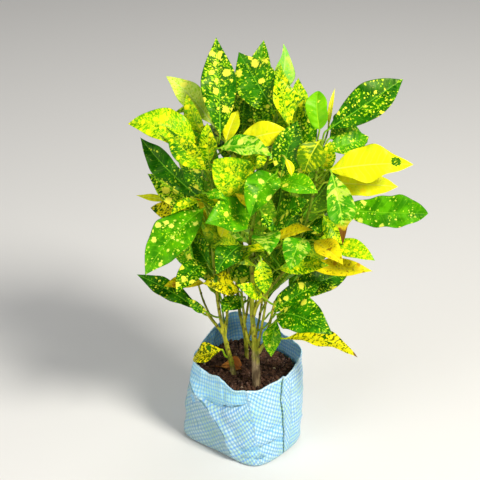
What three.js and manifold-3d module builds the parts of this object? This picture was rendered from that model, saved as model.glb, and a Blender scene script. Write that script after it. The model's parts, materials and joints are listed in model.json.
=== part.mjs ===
// Potted croton: a gold-dust croton of three stems in a woven nursery grow bag.
// Millimetres, +Z up. The origin is the middle of the bag's flat base. -Y is the front.

import * as THREE from "three";
import { mergeVertices } from "three/addons/utils/BufferGeometryUtils.js";
import Module from "manifold-3d";

const wasm = await Module();
wasm.setup();

const V = (x, y, z) => new THREE.Vector3(x, y, z);

// ---- Driving dimensions -------------------------------------------------------------------

const CLEARANCE = 0.3; // between pieces that touch

const BAG_WALL = 1.6; // two layers of limp woven sheet
const BAG_BULGE = 3; // how far the soil pushes the wall out at half height
const BAG_EDGE_RADIUS = 4; // where the wall turns into the base
const BAG_SIDES = 40;
const BAG_LEVELS = [0, 0.012, 0.035, 0.07, 0.25, 0.5, 0.75, 1]; // shares of the wall's height

// The base's outline and, in the same order, the rim's: left corner, left front, front corner,
// right front, right corner, right back, back corner, left back.
const BASE_OUTLINE = [
  V(-65, -3, 0),
  V(-27, -42, 0),
  V(16, -71, 0),
  V(48, -45, 0),
  V(66, -9, 0),
  V(44, 36, 0),
  V(0, 68, 0),
  V(-38, 34, 0),
];
const RIM_OUTLINE = [
  V(-52, -6, 99),
  V(-28, -40, 95),
  V(5, -61, 91),
  V(45, -42, 97),
  V(66, 2, 105),
  V(42, 42, 108),
  V(-8, 68, 118),
  V(-40, 31, 105),
];

const SOIL_EDGE = 84; // height of the soil along the wall
const SOIL_MOUND = 5; // how much higher it is around the stems
const MOUND_MIDDLE_Y = -5;
const MOUND_REACH_X = 38;
const MOUND_REACH_Y = 42;
const HOLLOW_DEPTH = 1.2; // of the shallow waves in the soil's surface
const HOLLOW_REACH_X = 9;
const HOLLOW_REACH_Y = 11;
const SOIL_GAP = 0.6; // between the soil's side and the wall
const SOIL_LEVELS = [0.04, 0.1, 0.3, 0.6, 0.85, 1]; // shares of SOIL_EDGE
const SOIL_RINGS = [0.82, 0.6, 0.38, 0.18]; // shares of the way out from the middle
const STEM_FOOT = 50; // height of the stems' cut ends down in the soil

const STEM_SIDES = 8;
const TWIG_SIDES = 6;
const RINGS_PER_POINT = 3; // rings of a stem's surface for each point of its course

const LEAF_THICKNESS = 1.2; // at the midrib
const LEAF_CHANNEL = 0.2; // how far the margins rise, as a share of the half width
const LEAF_WIDEST = 0.48; // where along the blade it is widest
const LEAF_FULLNESS = 1.05; // 1 is a sine outline, more is slimmer towards both ends
const PETIOLE_RADIUS = 1.1;
const PETIOLE_BEND = 0.35; // share of the stalk's reach over which each of its ends keeps its direction
const PETIOLE_STATIONS = [0, 0.3, 0.65];
const BLADE_STATIONS = [0, 0.09, 0.22, 0.36, 0.5, 0.64, 0.77, 0.88, 0.95];

// ---- Colours ------------------------------------------------------------------------------

const finish = (color, roughness) => ({ color, roughness, metalness: 0 });
const WOVEN_SHEET = finish(0x8fc4ee, 0.6);
const SOIL = finish(0x2a1a12, 1);
const STEM_BARK = finish(0x6f8a20, 0.7);
const GOLD_DUST = finish(0x0c5f10, 0.35);
const BRIGHT_GREEN = finish(0x2f9a12, 0.35);
const SPECKLED = finish(0x9fb41a, 0.4);
const MARBLED = finish(0x5fae2e, 0.4);
const YELLOW = finish(0xe8e020, 0.4);
const OLD_GOLD = finish(0xc9a81a, 0.5);
const YOUNG_LIME = finish(0x57b512, 0.4);
const DRY_LEAF = finish(0x9a4a18, 0.8);

// ---- Surfaces -----------------------------------------------------------------------------

// A closed surface through rings with equal counts of points, from a start point to an end point.
function loft(rings, start, end) {
  const count = rings[0].length;
  const points = [start, ...rings.flat(), end];
  const last = points.length - 1;
  const faces = [];
  const at = (ring, i) => 1 + ring * count + (i % count);
  for (let i = 0; i < count; i++) {
    faces.push(0, at(0, i + 1), at(0, i));
    faces.push(last, at(rings.length - 1, i), at(rings.length - 1, i + 1));
    for (let ring = 0; ring + 1 < rings.length; ring++) {
      faces.push(at(ring, i), at(ring, i + 1), at(ring + 1, i));
      faces.push(at(ring, i + 1), at(ring + 1, i + 1), at(ring + 1, i));
    }
  }
  if (enclosedVolume(points, faces) < 0) {
    faces.reverse();
  }
  const geometry = new THREE.BufferGeometry();
  const coordinates = points.flatMap((p) => [p.x, p.y, p.z]);
  geometry.setAttribute("position", new THREE.Float32BufferAttribute(coordinates, 3));
  geometry.setIndex(faces);
  return geometry;
}

function enclosedVolume(points, faces) {
  let sum = 0;
  const normal = V(0, 0, 0);
  for (let i = 0; i < faces.length; i += 3) {
    normal.crossVectors(points[faces[i + 1]], points[faces[i + 2]]);
    sum += points[faces[i]].dot(normal);
  }
  return sum / 6;
}

function toSolid(geometry) {
  const bare = geometry.clone();
  bare.deleteAttribute("normal");
  bare.deleteAttribute("uv");
  const merged = mergeVertices(bare, 1e-4);
  const vertProperties = new Float32Array(merged.attributes.position.array);
  const triVerts = new Uint32Array(merged.index.array);
  return new wasm.Manifold(new wasm.Mesh({ numProp: 3, vertProperties, triVerts }));
}

function toGeometry(solid) {
  const mesh = solid.getMesh();
  const geometry = new THREE.BufferGeometry();
  geometry.setAttribute("position", new THREE.BufferAttribute(mesh.vertProperties.slice(), 3));
  geometry.setIndex(new THREE.BufferAttribute(mesh.triVerts.slice(), 1));
  return geometry;
}

function piece(name, geometry, look) {
  const mesh = new THREE.Mesh(geometry, new THREE.MeshStandardMaterial(look));
  mesh.name = name;
  return mesh;
}

// ---- Grow bag -----------------------------------------------------------------------------

const baseCurve = new THREE.CatmullRomCurve3(BASE_OUTLINE, true, "centripetal");
const rimCurve = new THREE.CatmullRomCurve3(RIM_OUTLINE, true, "centripetal");

// The wall's outer surface at a share of the way round and a height, moved in by an inset.
function wallPoint(share, height, inset) {
  const base = baseCurve.getPoint(share);
  const rim = rimCurve.getPoint(share);
  const rise = height / rim.z;
  const along = rimCurve.getTangent(share);
  const outward = V(along.y, -along.x, 0).normalize();
  const point = base.lerp(rim, rise);
  const below = Math.max(0, BAG_EDGE_RADIUS - height);
  const turn = BAG_EDGE_RADIUS - Math.sqrt(BAG_EDGE_RADIUS ** 2 - below ** 2);
  point.addScaledVector(outward, BAG_BULGE * Math.sin(Math.PI * rise) - turn - inset);
  return point.setZ(height);
}

function aroundBag(heightOf, inset) {
  const ring = [];
  for (let i = 0; i < BAG_SIDES; i++) {
    const share = i / BAG_SIDES;
    ring.push(wallPoint(share, heightOf(rimCurve.getPoint(share).z), inset));
  }
  return ring;
}

function growBag() {
  const outside = BAG_LEVELS.map((level) => aroundBag((rim) => level * rim, 0));
  const insideHeight = (level) => (rim) => Math.max(level * rim, BAG_WALL);
  const inside = BAG_LEVELS.slice(1).reverse().map((level) => aroundBag(insideHeight(level), BAG_WALL));
  return loft([...outside, ...inside], V(0, 0, 0), V(0, 0, BAG_WALL));
}

// ---- Soil ---------------------------------------------------------------------------------

// Height of the soil: a low mound round the stems, with shallow hollows.
function soilHeight(x, y) {
  const away = (x / MOUND_REACH_X) ** 2 + ((y - MOUND_MIDDLE_Y) / MOUND_REACH_Y) ** 2;
  const mound = SOIL_MOUND * Math.exp(-away);
  const hollows = HOLLOW_DEPTH * Math.sin(x / HOLLOW_REACH_X + 1) * Math.cos(y / HOLLOW_REACH_Y - 0.5);
  return SOIL_EDGE + mound + hollows;
}

function soilMass() {
  const side = SOIL_LEVELS.map((level) => aroundBag(() => level * SOIL_EDGE, BAG_WALL + SOIL_GAP));
  const edge = side.at(-1);
  const top = SOIL_RINGS.map((share) =>
    edge.map((p) => V(p.x * share, p.y * share, soilHeight(p.x * share, p.y * share))),
  );
  return loft([...side, ...top], V(0, 0, SOIL_LEVELS[0] * SOIL_EDGE), V(0, 0, soilHeight(0, 0)));
}

// ---- Stems --------------------------------------------------------------------------------

// Each stem's course upwards, its radius at the foot and at the tip, and its sides.
const STEMS = {
  left: {
    course: [V(-9, -22, STEM_FOOT), V(-9, -22, 91), V(-16, -24, 126), V(-24, -24, 169), V(-30, -24, 240),
      V(-31, -21, 290), V(-29, -17, 330), V(-25, -14, 362)],
    radius: [3.4, 1.8],
    sides: STEM_SIDES,
  },
  left_low: {
    course: [V(-18.5, -24, 138), V(-24, -26, 147), V(-31, -28, 158), V(-38, -30, 170)],
    radius: [1.9, 1.5],
    sides: TWIG_SIDES,
  },
  left_twig: {
    course: [V(-18, -24, 136), V(-16, -21, 152), V(-15, -16, 176), V(-14, -8, 214), V(-18, 4, 246)],
    radius: [1.9, 1.4],
    sides: TWIG_SIDES,
  },
  back: {
    course: [V(6, 12, STEM_FOOT), V(6, 12, 84), V(4, 13, 116), V(-2, 15, 146), V(-6, 19, 207),
      V(-3, 22, 254), V(-1, 24, 300), V(0, 24, 344)],
    radius: [2.6, 1.6],
    sides: STEM_SIDES,
  },
  back_side: {
    course: [V(2.5, 13.5, 128), V(6, 16, 146), V(10, 24, 176), V(16, 34, 220), V(22, 40, 268)],
    radius: [1.7, 1.4],
    sides: TWIG_SIDES,
  },
  right: {
    course: [V(17, -41, STEM_FOOT), V(16, -41, 85), V(15, -39, 120), V(13, -36, 148), V(11, -32, 172),
      V(11, -26, 212), V(9, -20, 244), V(13, -14, 276), V(21, -8, 312), V(29, -2, 343), V(35, 2, 370)],
    radius: [5, 1.8],
    sides: STEM_SIDES,
  },
  right_inner: {
    course: [V(15, -38.5, 126), V(8, -34, 136), V(4, -30, 151), V(2, -27, 170), V(0, -26, 192)],
    radius: [2, 1.4],
    sides: TWIG_SIDES,
  },
  right_outer: {
    course: [V(15.5, -39, 122), V(21, -40, 131), V(26, -42, 144), V(30, -42, 164), V(35, -39, 188)],
    radius: [2.3, 1.6],
    sides: TWIG_SIDES,
  },
  right_long: {
    course: [V(12, -33.5, 164), V(17, -34, 181), V(30, -32, 200), V(44, -30, 218), V(57, -27, 245),
      V(67, -22, 273), V(73, -20, 301), V(78, -15, 332), V(81, -10, 358)],
    radius: [2.1, 1.6],
    sides: TWIG_SIDES,
  },
};

for (const stem of Object.values(STEMS)) {
  stem.curve = new THREE.CatmullRomCurve3(stem.course, false, "centripetal");
}

function stemRadius(stem, share) {
  return THREE.MathUtils.lerp(stem.radius[0], stem.radius[1], share);
}

// A tapered round rod along the stem's course, made thicker all over by a margin.
function stemRod(stem, margin = 0) {
  const steps = stem.course.length * RINGS_PER_POINT;
  const rings = [];
  for (let i = 0; i <= steps; i++) {
    const share = i / steps;
    const centre = stem.curve.getPoint(share);
    const along = stem.curve.getTangent(share);
    const side = V(1, 0, 0).addScaledVector(along, -along.x).normalize();
    const front = V(0, 0, 0).crossVectors(along, side);
    const radius = stemRadius(stem, share) + margin;
    const ring = [];
    for (let k = 0; k < stem.sides; k++) {
      const angle = (2 * Math.PI * k) / stem.sides;
      const point = centre.clone().addScaledVector(side, radius * Math.cos(angle));
      ring.push(point.addScaledVector(front, radius * Math.sin(angle)));
    }
    rings.push(ring);
  }
  return loft(rings, stem.curve.getPoint(0), stem.curve.getPoint(1));
}

function joinedStems(...names) {
  const solids = names.map((name) => toSolid(stemRod(STEMS[name])));
  return solids.reduce((whole, next) => whole.add(next));
}

// The soil with a socket for each stem, so that every stem is rooted in it.
function plantedSoil() {
  let soil = toSolid(soilMass());
  for (const name of ["left", "back", "right"]) {
    soil = soil.subtract(toSolid(stemRod(STEMS[name], CLEARANCE)));
  }
  return soil;
}

// The point of a stem's centre line at a height, with the stem's direction and radius there.
function stemAt(stem, height) {
  let low = 0;
  let high = 1;
  for (let i = 0; i < 24; i++) {
    const middle = (low + high) / 2;
    if (stem.curve.getPoint(middle).z < height) {
      low = middle;
    } else {
      high = middle;
    }
  }
  const centre = stem.curve.getPoint(low);
  return { centre, along: stem.curve.getTangent(low), radius: stemRadius(stem, low) };
}

// ---- Leaves -------------------------------------------------------------------------------

// A direction from its compass angle, 0 at the front and 90 at the right, and its rise, in degrees.
function direction(compass, rise) {
  const turn = THREE.MathUtils.degToRad(compass);
  const lift = THREE.MathUtils.degToRad(rise);
  return V(Math.sin(turn) * Math.cos(lift), -Math.cos(turn) * Math.cos(lift), Math.sin(lift));
}

// The blade's half width as a share of its greatest, from the stalk at 0 to the tip at 1.
function bladeShare(along, widest) {
  const bend = Math.log(0.5) / Math.log(widest);
  return Math.sin(Math.PI * along ** bend) ** LEAF_FULLNESS;
}

const upright = (vector, along) => vector.addScaledVector(along, -vector.dot(along)).normalize();

// One leaf: a stalk from the stem and a blade with a midrib and raised margins, as one solid.
function leaf({ on, at, base, tip, width, face, arch, widest = LEAF_WIDEST }) {
  const foot = stemAt(STEMS[on], at);
  const start = V(...base);
  const end = V(...tip);
  const chord = end.clone().sub(start).normalize();
  const facing = upright(direction(...face), chord);
  const outward = upright(start.clone().sub(foot.centre), foot.along);
  const root = foot.centre.clone().addScaledVector(outward, foot.radius + CLEARANCE);
  const reach = root.distanceTo(start);
  const stalk = new THREE.CubicBezierCurve3(
    root,
    root.clone().addScaledVector(outward, reach * PETIOLE_BEND),
    start.clone().addScaledVector(chord, -reach * PETIOLE_BEND),
    start,
  );
  const crest = start.clone().lerp(end, 0.5).addScaledVector(facing, 2 * arch);
  const blade = new THREE.QuadraticBezierCurve3(start, crest, end);
  const stations = [
    ...PETIOLE_STATIONS.map((t) => ({ centre: stalk.getPoint(t), along: stalk.getTangent(t), half: 0 })),
    ...BLADE_STATIONS.map((t) => ({
      centre: blade.getPoint(t),
      along: blade.getTangent(t),
      half: (bladeShare(t, widest) * width) / 2,
    })),
  ];
  const normal = facing.clone();
  for (let i = PETIOLE_STATIONS.length; i >= 0; i--) {
    stations[i].normal = upright(normal, stations[i].along).clone();
  }
  normal.copy(facing);
  for (let i = PETIOLE_STATIONS.length; i < stations.length; i++) {
    stations[i].normal = upright(normal, stations[i].along).clone();
  }
  return loft(stations.map(leafRing), root, end);
}

// Left margin, top of the midrib, right margin and bottom of the midrib.
function leafRing({ centre, along, half, normal }) {
  const side = V(0, 0, 0).crossVectors(along, normal);
  const reach = Math.max(half, PETIOLE_RADIUS);
  const depth = half > PETIOLE_RADIUS ? LEAF_THICKNESS / 2 : PETIOLE_RADIUS;
  const lift = half * LEAF_CHANNEL;
  return [
    centre.clone().addScaledVector(side, -reach).addScaledVector(normal, lift),
    centre.clone().addScaledVector(normal, depth),
    centre.clone().addScaledVector(side, reach).addScaledVector(normal, lift),
    centre.clone().addScaledVector(normal, -depth),
  ];
}

// Name, look, stem, height on the stem, the blade's base and tip, its greatest width, the way its
// upper side faces (compass angle and rise), how far its middle arches up from a straight line and,
// for some, where along the blade it is widest.
const LEAVES = [
  ["crown_tall", GOLD_DUST, "left", 355, [-22, -20, 366], [-26, 15, 458], 35, [0, 20], 4],
  ["crown_rear", GOLD_DUST, "back", 340, [12, 27, 382], [23, 45, 446], 26, [0, 20], 3],
  ["crown_front", GOLD_DUST, "right", 368, [34, 3, 380], [-4, 12, 443], 44, [-10, 25], 4],
  ["crown_narrow", BRIGHT_GREEN, "right", 360, [31, 22, 384], [45, 40, 444], 26, [40, 10], 4],
  ["crown_speckled", SPECKLED, "right", 361, [48, -7, 372], [34, 0, 423], 26, [35, 20], 4],
  ["middle_ribbed", GOLD_DUST, "right", 316, [40, -31, 325], [56, -20, 382], 32, [-10, 20], 3],
  ["middle_dark", GOLD_DUST, "right_long", 308, [64, 5, 324], [59, 30, 384], 32, [10, 15], 4],
  ["middle_yellow", YELLOW, "back", 336, [-2, -8, 355], [47, -18, 371], 28, [0, 30], 3],
  ["middle_upright", YELLOW, "left", 342, [-16, -4, 353], [-4, 8, 384], 18, [-20, 10], 2],
  ["middle_veined", MARBLED, "left", 344, [-23, -28, 355], [31, -48, 355], 26, [0, 60], 6],
  ["left_far", SPECKLED, "left", 340, [-44, -12, 355], [-115, -25, 381], 38, [-10, 45], 12],
  ["left_flecked", SPECKLED, "left", 318, [-36, -29, 332], [-75, -47, 384], 25, [-20, 25], 3],
  ["left_upright", BRIGHT_GREEN, "left", 334, [-38, -4, 359], [-56, 0, 403], 20, [-30, 10], 3],
  ["left_rear", SPECKLED, "back", 334, [-31, 14, 366], [-78, 30, 413], 26, [0, 40], 8],
  ["left_dark", GOLD_DUST, "left", 282, [-41, -13, 293], [-105, 10, 353], 38, [-15, 25], 10],
  ["left_yellowed", SPECKLED, "left", 260, [-43, -6, 275], [-99, 15, 310], 29, [-20, 40], 5],
  ["left_olive", SPECKLED, "left", 250, [-47, -6, 266], [-99, 20, 270], 24, [-10, 45], 4],
  ["front_large", GOLD_DUST, "left", 276, [-39, -35, 292], [-97, -92, 245], 46, [-20, 45], 9],
  ["front_bright", BRIGHT_GREEN, "right", 278, [8, -42, 289], [-36, -84, 298], 40, [-5, 35], 6],
  ["front_speckled", SPECKLED, "right", 300, [8, -32, 314], [-28, -48, 350], 44, [-10, 25], 4],
  ["front_folded", BRIGHT_GREEN, "right", 322, [34, -45, 334], [8, -88, 306], 34, [-10, 45], 9],
  ["front_pale_edge", BRIGHT_GREEN, "right", 308, [35, -36, 322], [76, -62, 321], 27, [10, 50], 4],
  ["front_flecked", GOLD_DUST, "right", 264, [33, -40, 277], [66, -70, 317], 28, [-20, 50], 4],
  ["front_gold", OLD_GOLD, "right", 240, [31, -32, 254], [72, -48, 276], 20, [10, 70], 3],
  ["right_top", GOLD_DUST, "right_long", 352, [86, -2, 364], [165, 20, 413], 42, [15, 40], 5, 0.54],
  ["right_young", YOUNG_LIME, "right_long", 354, [79, -8, 368], [77, 10, 403], 23, [-10, 15], 3],
  ["right_green", BRIGHT_GREEN, "right_long", 344, [90, 2, 354], [130, 62, 338], 44, [20, 50], 5],
  ["right_streaked", SPECKLED, "right_long", 350, [78, -26, 362], [62, -42, 332], 27, [0, 30], 4],
  ["right_yellow", YELLOW, "right_long", 324, [88, -25, 330], [172, -40, 343], 38, [5, 45], 2],
  ["right_yellow_low", YELLOW, "right_long", 304, [86, -18, 314], [162, -14, 308], 28, [10, 40], 2],
  ["right_broad", BRIGHT_GREEN, "right_long", 282, [95, -22, 287], [188, -50, 294], 40, [10, 50], -2, 0.6],
  ["right_hanging", MARBLED, "right_long", 314, [90, -42, 334], [102, -74, 268], 29, [10, 10], 8],
  ["right_pale", SPECKLED, "right_long", 248, [93, -32, 255], [136, -60, 247], 23, [20, 40], 2],
  ["right_gold", OLD_GOLD, "right_long", 252, [75, -42, 259], [102, -80, 253], 24, [10, 45], 3],
  ["right_gold_low", OLD_GOLD, "right_long", 220, [68, -34, 226], [136, -42, 226], 21, [5, 50], 1],
  ["low_right_dark", GOLD_DUST, "right_outer", 184, [45, -24, 190], [119, 10, 199], 30, [0, 40], 2],
  ["low_right_front", GOLD_DUST, "right_outer", 170, [37, -50, 178], [92, -100, 182], 42, [10, 50], 12],
  ["low_right_gold", OLD_GOLD, "right_outer", 136, [46, -36, 141], [123, -60, 133], 24, [0, 75], 9],
  ["low_hanging", BRIGHT_GREEN, "right_outer", 162, [37, -54, 172], [31, -70, 138], 19, [-10, 10], 4],
  ["centre_facing", MARBLED, "right", 250, [21, -40, 264], [28, -90, 267], 30, [0, 60], 6],
  ["centre_marbled", MARBLED, "right_long", 240, [64, -42, 262], [48, -80, 245], 30, [-10, 40], 5],
  ["centre_striped", SPECKLED, "right", 230, [20, -46, 240], [24, -62, 207], 20, [0, 20], 3],
  ["centre_hanging", YELLOW, "right", 272, [-15, -30, 284], [-22, -36, 259], 15, [-10, 20], 2],
  ["centre_dark", GOLD_DUST, "right", 234, [-2, -36, 250], [-26, -74, 238], 28, [-10, 40], 5],
  ["centre_speckled", SPECKLED, "right_inner", 186, [-3, -36, 198], [-39, -58, 219], 26, [-10, 50], 4],
  ["left_gold_low", OLD_GOLD, "left", 192, [-39, -30, 204], [-81, -45, 209], 16, [-10, 50], 2],
  ["left_dark_low", GOLD_DUST, "left", 218, [-38, -36, 231], [-67, -82, 221], 28, [-15, 45], 6],
  ["low_left_dark", GOLD_DUST, "left_low", 166, [-46, -28, 172], [-112, -10, 205], 26, [0, 50], 5],
  ["rim_leaf", SPECKLED, "left", 112, [-22, -26, 122], [-55, -12, 102], 24, [-5, 60], 3],
  ["rear_high", GOLD_DUST, "back", 340, [4, 38, 352], [10, 88, 402], 40, [180, 40], 6],
  ["rear_left", GOLD_DUST, "back", 300, [-14, 38, 312], [-60, 92, 338], 42, [210, 45], 7],
  ["rear_right", SPECKLED, "back_side", 264, [34, 50, 276], [84, 98, 312], 38, [150, 45], 7],
  ["rear_middle", BRIGHT_GREEN, "back", 262, [-8, 36, 274], [-24, 104, 270], 38, [185, 60], 9],
  ["rear_low", GOLD_DUST, "back_side", 226, [22, 46, 236], [48, 104, 226], 38, [165, 55], 9],
];

function leaves() {
  return LEAVES.map(([name, look, on, at, base, tip, width, face, arch, widest]) =>
    piece(`leaf_${name}`, leaf({ on, at, base, tip, width, face, arch, widest }), look),
  );
}

// ---- Dry leaf on the soil -----------------------------------------------------------------

const DRY_LEAF_START = V(-27, -5, 0);
const DRY_LEAF_END = V(4, -10, 0);
const DRY_LEAF_WIDTH = 14;
const DRY_LEAF_LIFT = 0.7; // of its underside above the soil
const DRY_LEAF_MIDRIB = 0.8; // thickness
const DRY_LEAF_CURL = 1.5; // how far its margins stand above the underside

// A small curled leaf that has dropped: stations from stalk to tip lie just above the soil.
function fallenLeaf() {
  const start = DRY_LEAF_START;
  const end = DRY_LEAF_END;
  const lift = DRY_LEAF_LIFT;
  const along = end.clone().sub(start).normalize();
  const side = V(along.y, -along.x, 0);
  const rings = BLADE_STATIONS.slice(1).map((t) => {
    const centre = start.clone().lerp(end, t);
    const half = (bladeShare(t, LEAF_WIDEST) * DRY_LEAF_WIDTH) / 2;
    const edge = (offset, rise) => {
      const point = centre.clone().addScaledVector(side, offset);
      return point.setZ(soilHeight(point.x, point.y) + rise);
    };
    const margin = lift + DRY_LEAF_CURL;
    return [edge(-half, margin), edge(0, lift + DRY_LEAF_MIDRIB), edge(half, margin), edge(0, lift)];
  });
  const onSoil = (point) => point.clone().setZ(soilHeight(point.x, point.y) + lift);
  return loft(rings, onSoil(start), onSoil(end));
}

// ---- The plant ----------------------------------------------------------------------------

const plant = new THREE.Group();
plant.add(piece("grow_bag", growBag(), WOVEN_SHEET));
plant.add(piece("soil", toGeometry(plantedSoil()), SOIL));
plant.add(piece("stem_left", toGeometry(joinedStems("left", "left_low", "left_twig")), STEM_BARK));
plant.add(piece("stem_back", toGeometry(joinedStems("back", "back_side")), STEM_BARK));
const rightStems = ["right", "right_inner", "right_outer", "right_long"];
plant.add(piece("stem_right", toGeometry(joinedStems(...rightStems)), STEM_BARK));
plant.add(piece("dry_leaf", fallenLeaf(), DRY_LEAF));
plant.add(...leaves());

export default plant;
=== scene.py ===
"""Potted croton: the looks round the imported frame. Lengths are in millimetres until a mesh is made.
+Z is up and -Y is the front."""

import json
import math
import random
from types import SimpleNamespace as Leaf

import bmesh
import bpy
import numpy as np
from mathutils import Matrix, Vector, noise
from mathutils.bvhtree import BVHTree


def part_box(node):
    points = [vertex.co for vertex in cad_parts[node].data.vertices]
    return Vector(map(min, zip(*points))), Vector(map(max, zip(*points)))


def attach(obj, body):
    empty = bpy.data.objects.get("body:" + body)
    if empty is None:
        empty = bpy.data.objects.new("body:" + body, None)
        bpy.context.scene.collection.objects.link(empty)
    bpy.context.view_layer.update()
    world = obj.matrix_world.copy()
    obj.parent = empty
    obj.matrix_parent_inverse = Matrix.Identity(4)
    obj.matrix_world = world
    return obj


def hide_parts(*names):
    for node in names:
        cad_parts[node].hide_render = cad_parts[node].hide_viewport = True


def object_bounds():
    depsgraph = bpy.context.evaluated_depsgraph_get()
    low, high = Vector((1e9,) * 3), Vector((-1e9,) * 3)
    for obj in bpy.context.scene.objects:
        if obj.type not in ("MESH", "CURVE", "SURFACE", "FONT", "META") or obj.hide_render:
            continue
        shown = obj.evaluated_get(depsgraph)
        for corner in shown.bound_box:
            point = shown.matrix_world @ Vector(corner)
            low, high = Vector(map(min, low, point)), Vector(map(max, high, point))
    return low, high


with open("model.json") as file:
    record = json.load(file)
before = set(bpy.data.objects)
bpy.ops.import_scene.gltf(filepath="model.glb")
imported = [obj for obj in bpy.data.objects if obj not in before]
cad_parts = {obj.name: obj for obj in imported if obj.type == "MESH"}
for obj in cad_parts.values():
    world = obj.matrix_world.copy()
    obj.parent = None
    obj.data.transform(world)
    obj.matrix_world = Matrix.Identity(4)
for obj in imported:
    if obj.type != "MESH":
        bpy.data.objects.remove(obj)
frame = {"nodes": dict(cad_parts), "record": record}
cad_box = [list(corner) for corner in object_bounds()]
MM = 0.001
SIDEWAYS = (0.3, 0.2, 0.9)  # no stem or stalk runs along it

# ---- Curves and arrays ----


def unit(vectors):
    vectors = np.asarray(vectors, float)
    return vectors / np.maximum(np.linalg.norm(vectors, axis=-1, keepdims=True), 1e-9)


def smooth(value, low, high):
    """0 below low, 1 above high and a smooth rise between them."""
    t = np.clip((value - low) / (high - low), 0, 1)
    return t * t * (3 - 2 * t)


def spline(points, shares, closed=False):
    """A centripetal curve through the points, at shares of its length from 0 to 1."""
    p = np.asarray(points, float)
    if closed:
        spans, p = len(p), p[np.arange(-1, len(p) + 2) % len(p)]
    else:
        spans, p = len(p) - 1, np.vstack([2 * p[0] - p[1], p, 2 * p[-1] - p[-2]])
    place = np.asarray(shares, float) * spans
    i = np.minimum(place.astype(int), spans - 1)
    w = (place - i)[:, None]
    q = [p[i + k] for k in range(4)]
    gap = [np.maximum(np.linalg.norm(q[k + 1] - q[k], axis=1), 1e-6)[:, None] ** 0.5 for k in range(3)]
    m1 = ((q[1] - q[0]) / gap[0] - (q[2] - q[0]) / (gap[0] + gap[1]) + (q[2] - q[1]) / gap[1]) * gap[1]
    m2 = ((q[2] - q[1]) / gap[1] - (q[3] - q[1]) / (gap[1] + gap[2]) + (q[3] - q[2]) / gap[2]) * gap[1]
    a = 2 * w**3 - 3 * w**2
    return (a + 1) * q[1] + (w**3 - 2 * w**2 + w) * m1 - a * q[2] + (w**3 - w**2) * m2


def loft(rings, start, end, **attributes):
    """A closed surface through rings of equal length, as (points, faces, attributes)."""
    points = np.vstack([[start], np.concatenate(rings), [end]])
    count, last = len(rings[0]), len(points) - 1
    faces = []
    for i in range(count):
        j = (i + 1) % count
        faces += [(0, 1 + j, 1 + i), (last, last - count + i, last - count + j)]
        for a in range(1, last - count, count):
            faces.append((a + i, a + j, a + count + j, a + count + i))
    tris = np.array([(f[0], f[k], f[k + 1]) for f in faces for k in range(1, len(f) - 1)])
    a, b, c = (points[tris[:, k]] - points[0] for k in range(3))
    if np.einsum("ij,ij->i", a, np.cross(b, c)).sum() < 0:  # the faces look inwards
        faces = [face[::-1] for face in faces]
    return points, faces, attributes


def together(pieces):
    """Several (points, faces, attributes) as one."""
    points, faces, first = [], [], 0
    for p, f, _ in pieces:
        points.append(p)
        faces += [tuple(i + first for i in face) for face in f]
        first += len(p)
    names = pieces[0][2].keys()
    return np.concatenate(points), faces, {n: np.concatenate([a[n] for _, _, a in pieces]) for n in names}


def show(name, shape, material, replaces=()):
    """Makes an object of (points, faces, attributes) that rides on the plant."""
    points, faces, attributes = shape
    mesh = bpy.data.meshes.new(name)
    mesh.from_pydata((points * MM).tolist(), [], faces)
    for key, values in attributes.items():
        flat = np.asarray(values, np.float32)
        if flat.ndim == 1:
            mesh.attributes.new(key, "FLOAT", "POINT").data.foreach_set("value", flat)
        else:
            mesh.attributes.new(key, "FLOAT_VECTOR", "POINT").data.foreach_set("vector", flat.ravel())
    mesh.shade_smooth()
    mesh.materials.append(material)
    piece = bpy.data.objects.new(name, mesh)
    bpy.context.scene.collection.objects.link(piece)
    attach(piece, "root")
    if replaces:
        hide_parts(*replaces)
    return piece


def tube(points, radii, sides):
    """Rings of a round tube along points, with the first and last point."""
    points = np.asarray(points, float)
    along = unit(np.gradient(points, axis=0))
    side = unit(np.cross(along[0], SIDEWAYS))
    angle = np.linspace(0, 2 * math.pi, sides, endpoint=False)
    rings = []
    for i, centre in enumerate(points):
        side = unit(side - np.dot(side, along[i]) * along[i])
        front = np.cross(along[i], side)
        rings.append(centre + (np.outer(np.cos(angle), side) + np.outer(np.sin(angle), front)) * radii[i])
    return rings, points[0], points[-1]


# ---- Materials ----


def operator(name, swapped=False):
    """A method of Wire that makes a node of arithmetic, for vectors or for single numbers."""
    def method(self, other):
        kind = "Math" if self.socket.type == "VALUE" else "VectorMath"
        values = (other, self) if swapped else (self, other)
        return self.look.node(kind, dict(enumerate(values)), operation=name)
    return method


class Wire:
    """What a node gives. Sums of wires make more nodes."""

    def __init__(self, look, socket):
        self.look, self.socket = look, socket

    __add__, __sub__, __mul__, __truediv__ = map(operator, ("ADD", "SUBTRACT", "MULTIPLY", "DIVIDE"))
    __rsub__ = operator("SUBTRACT", True)


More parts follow.
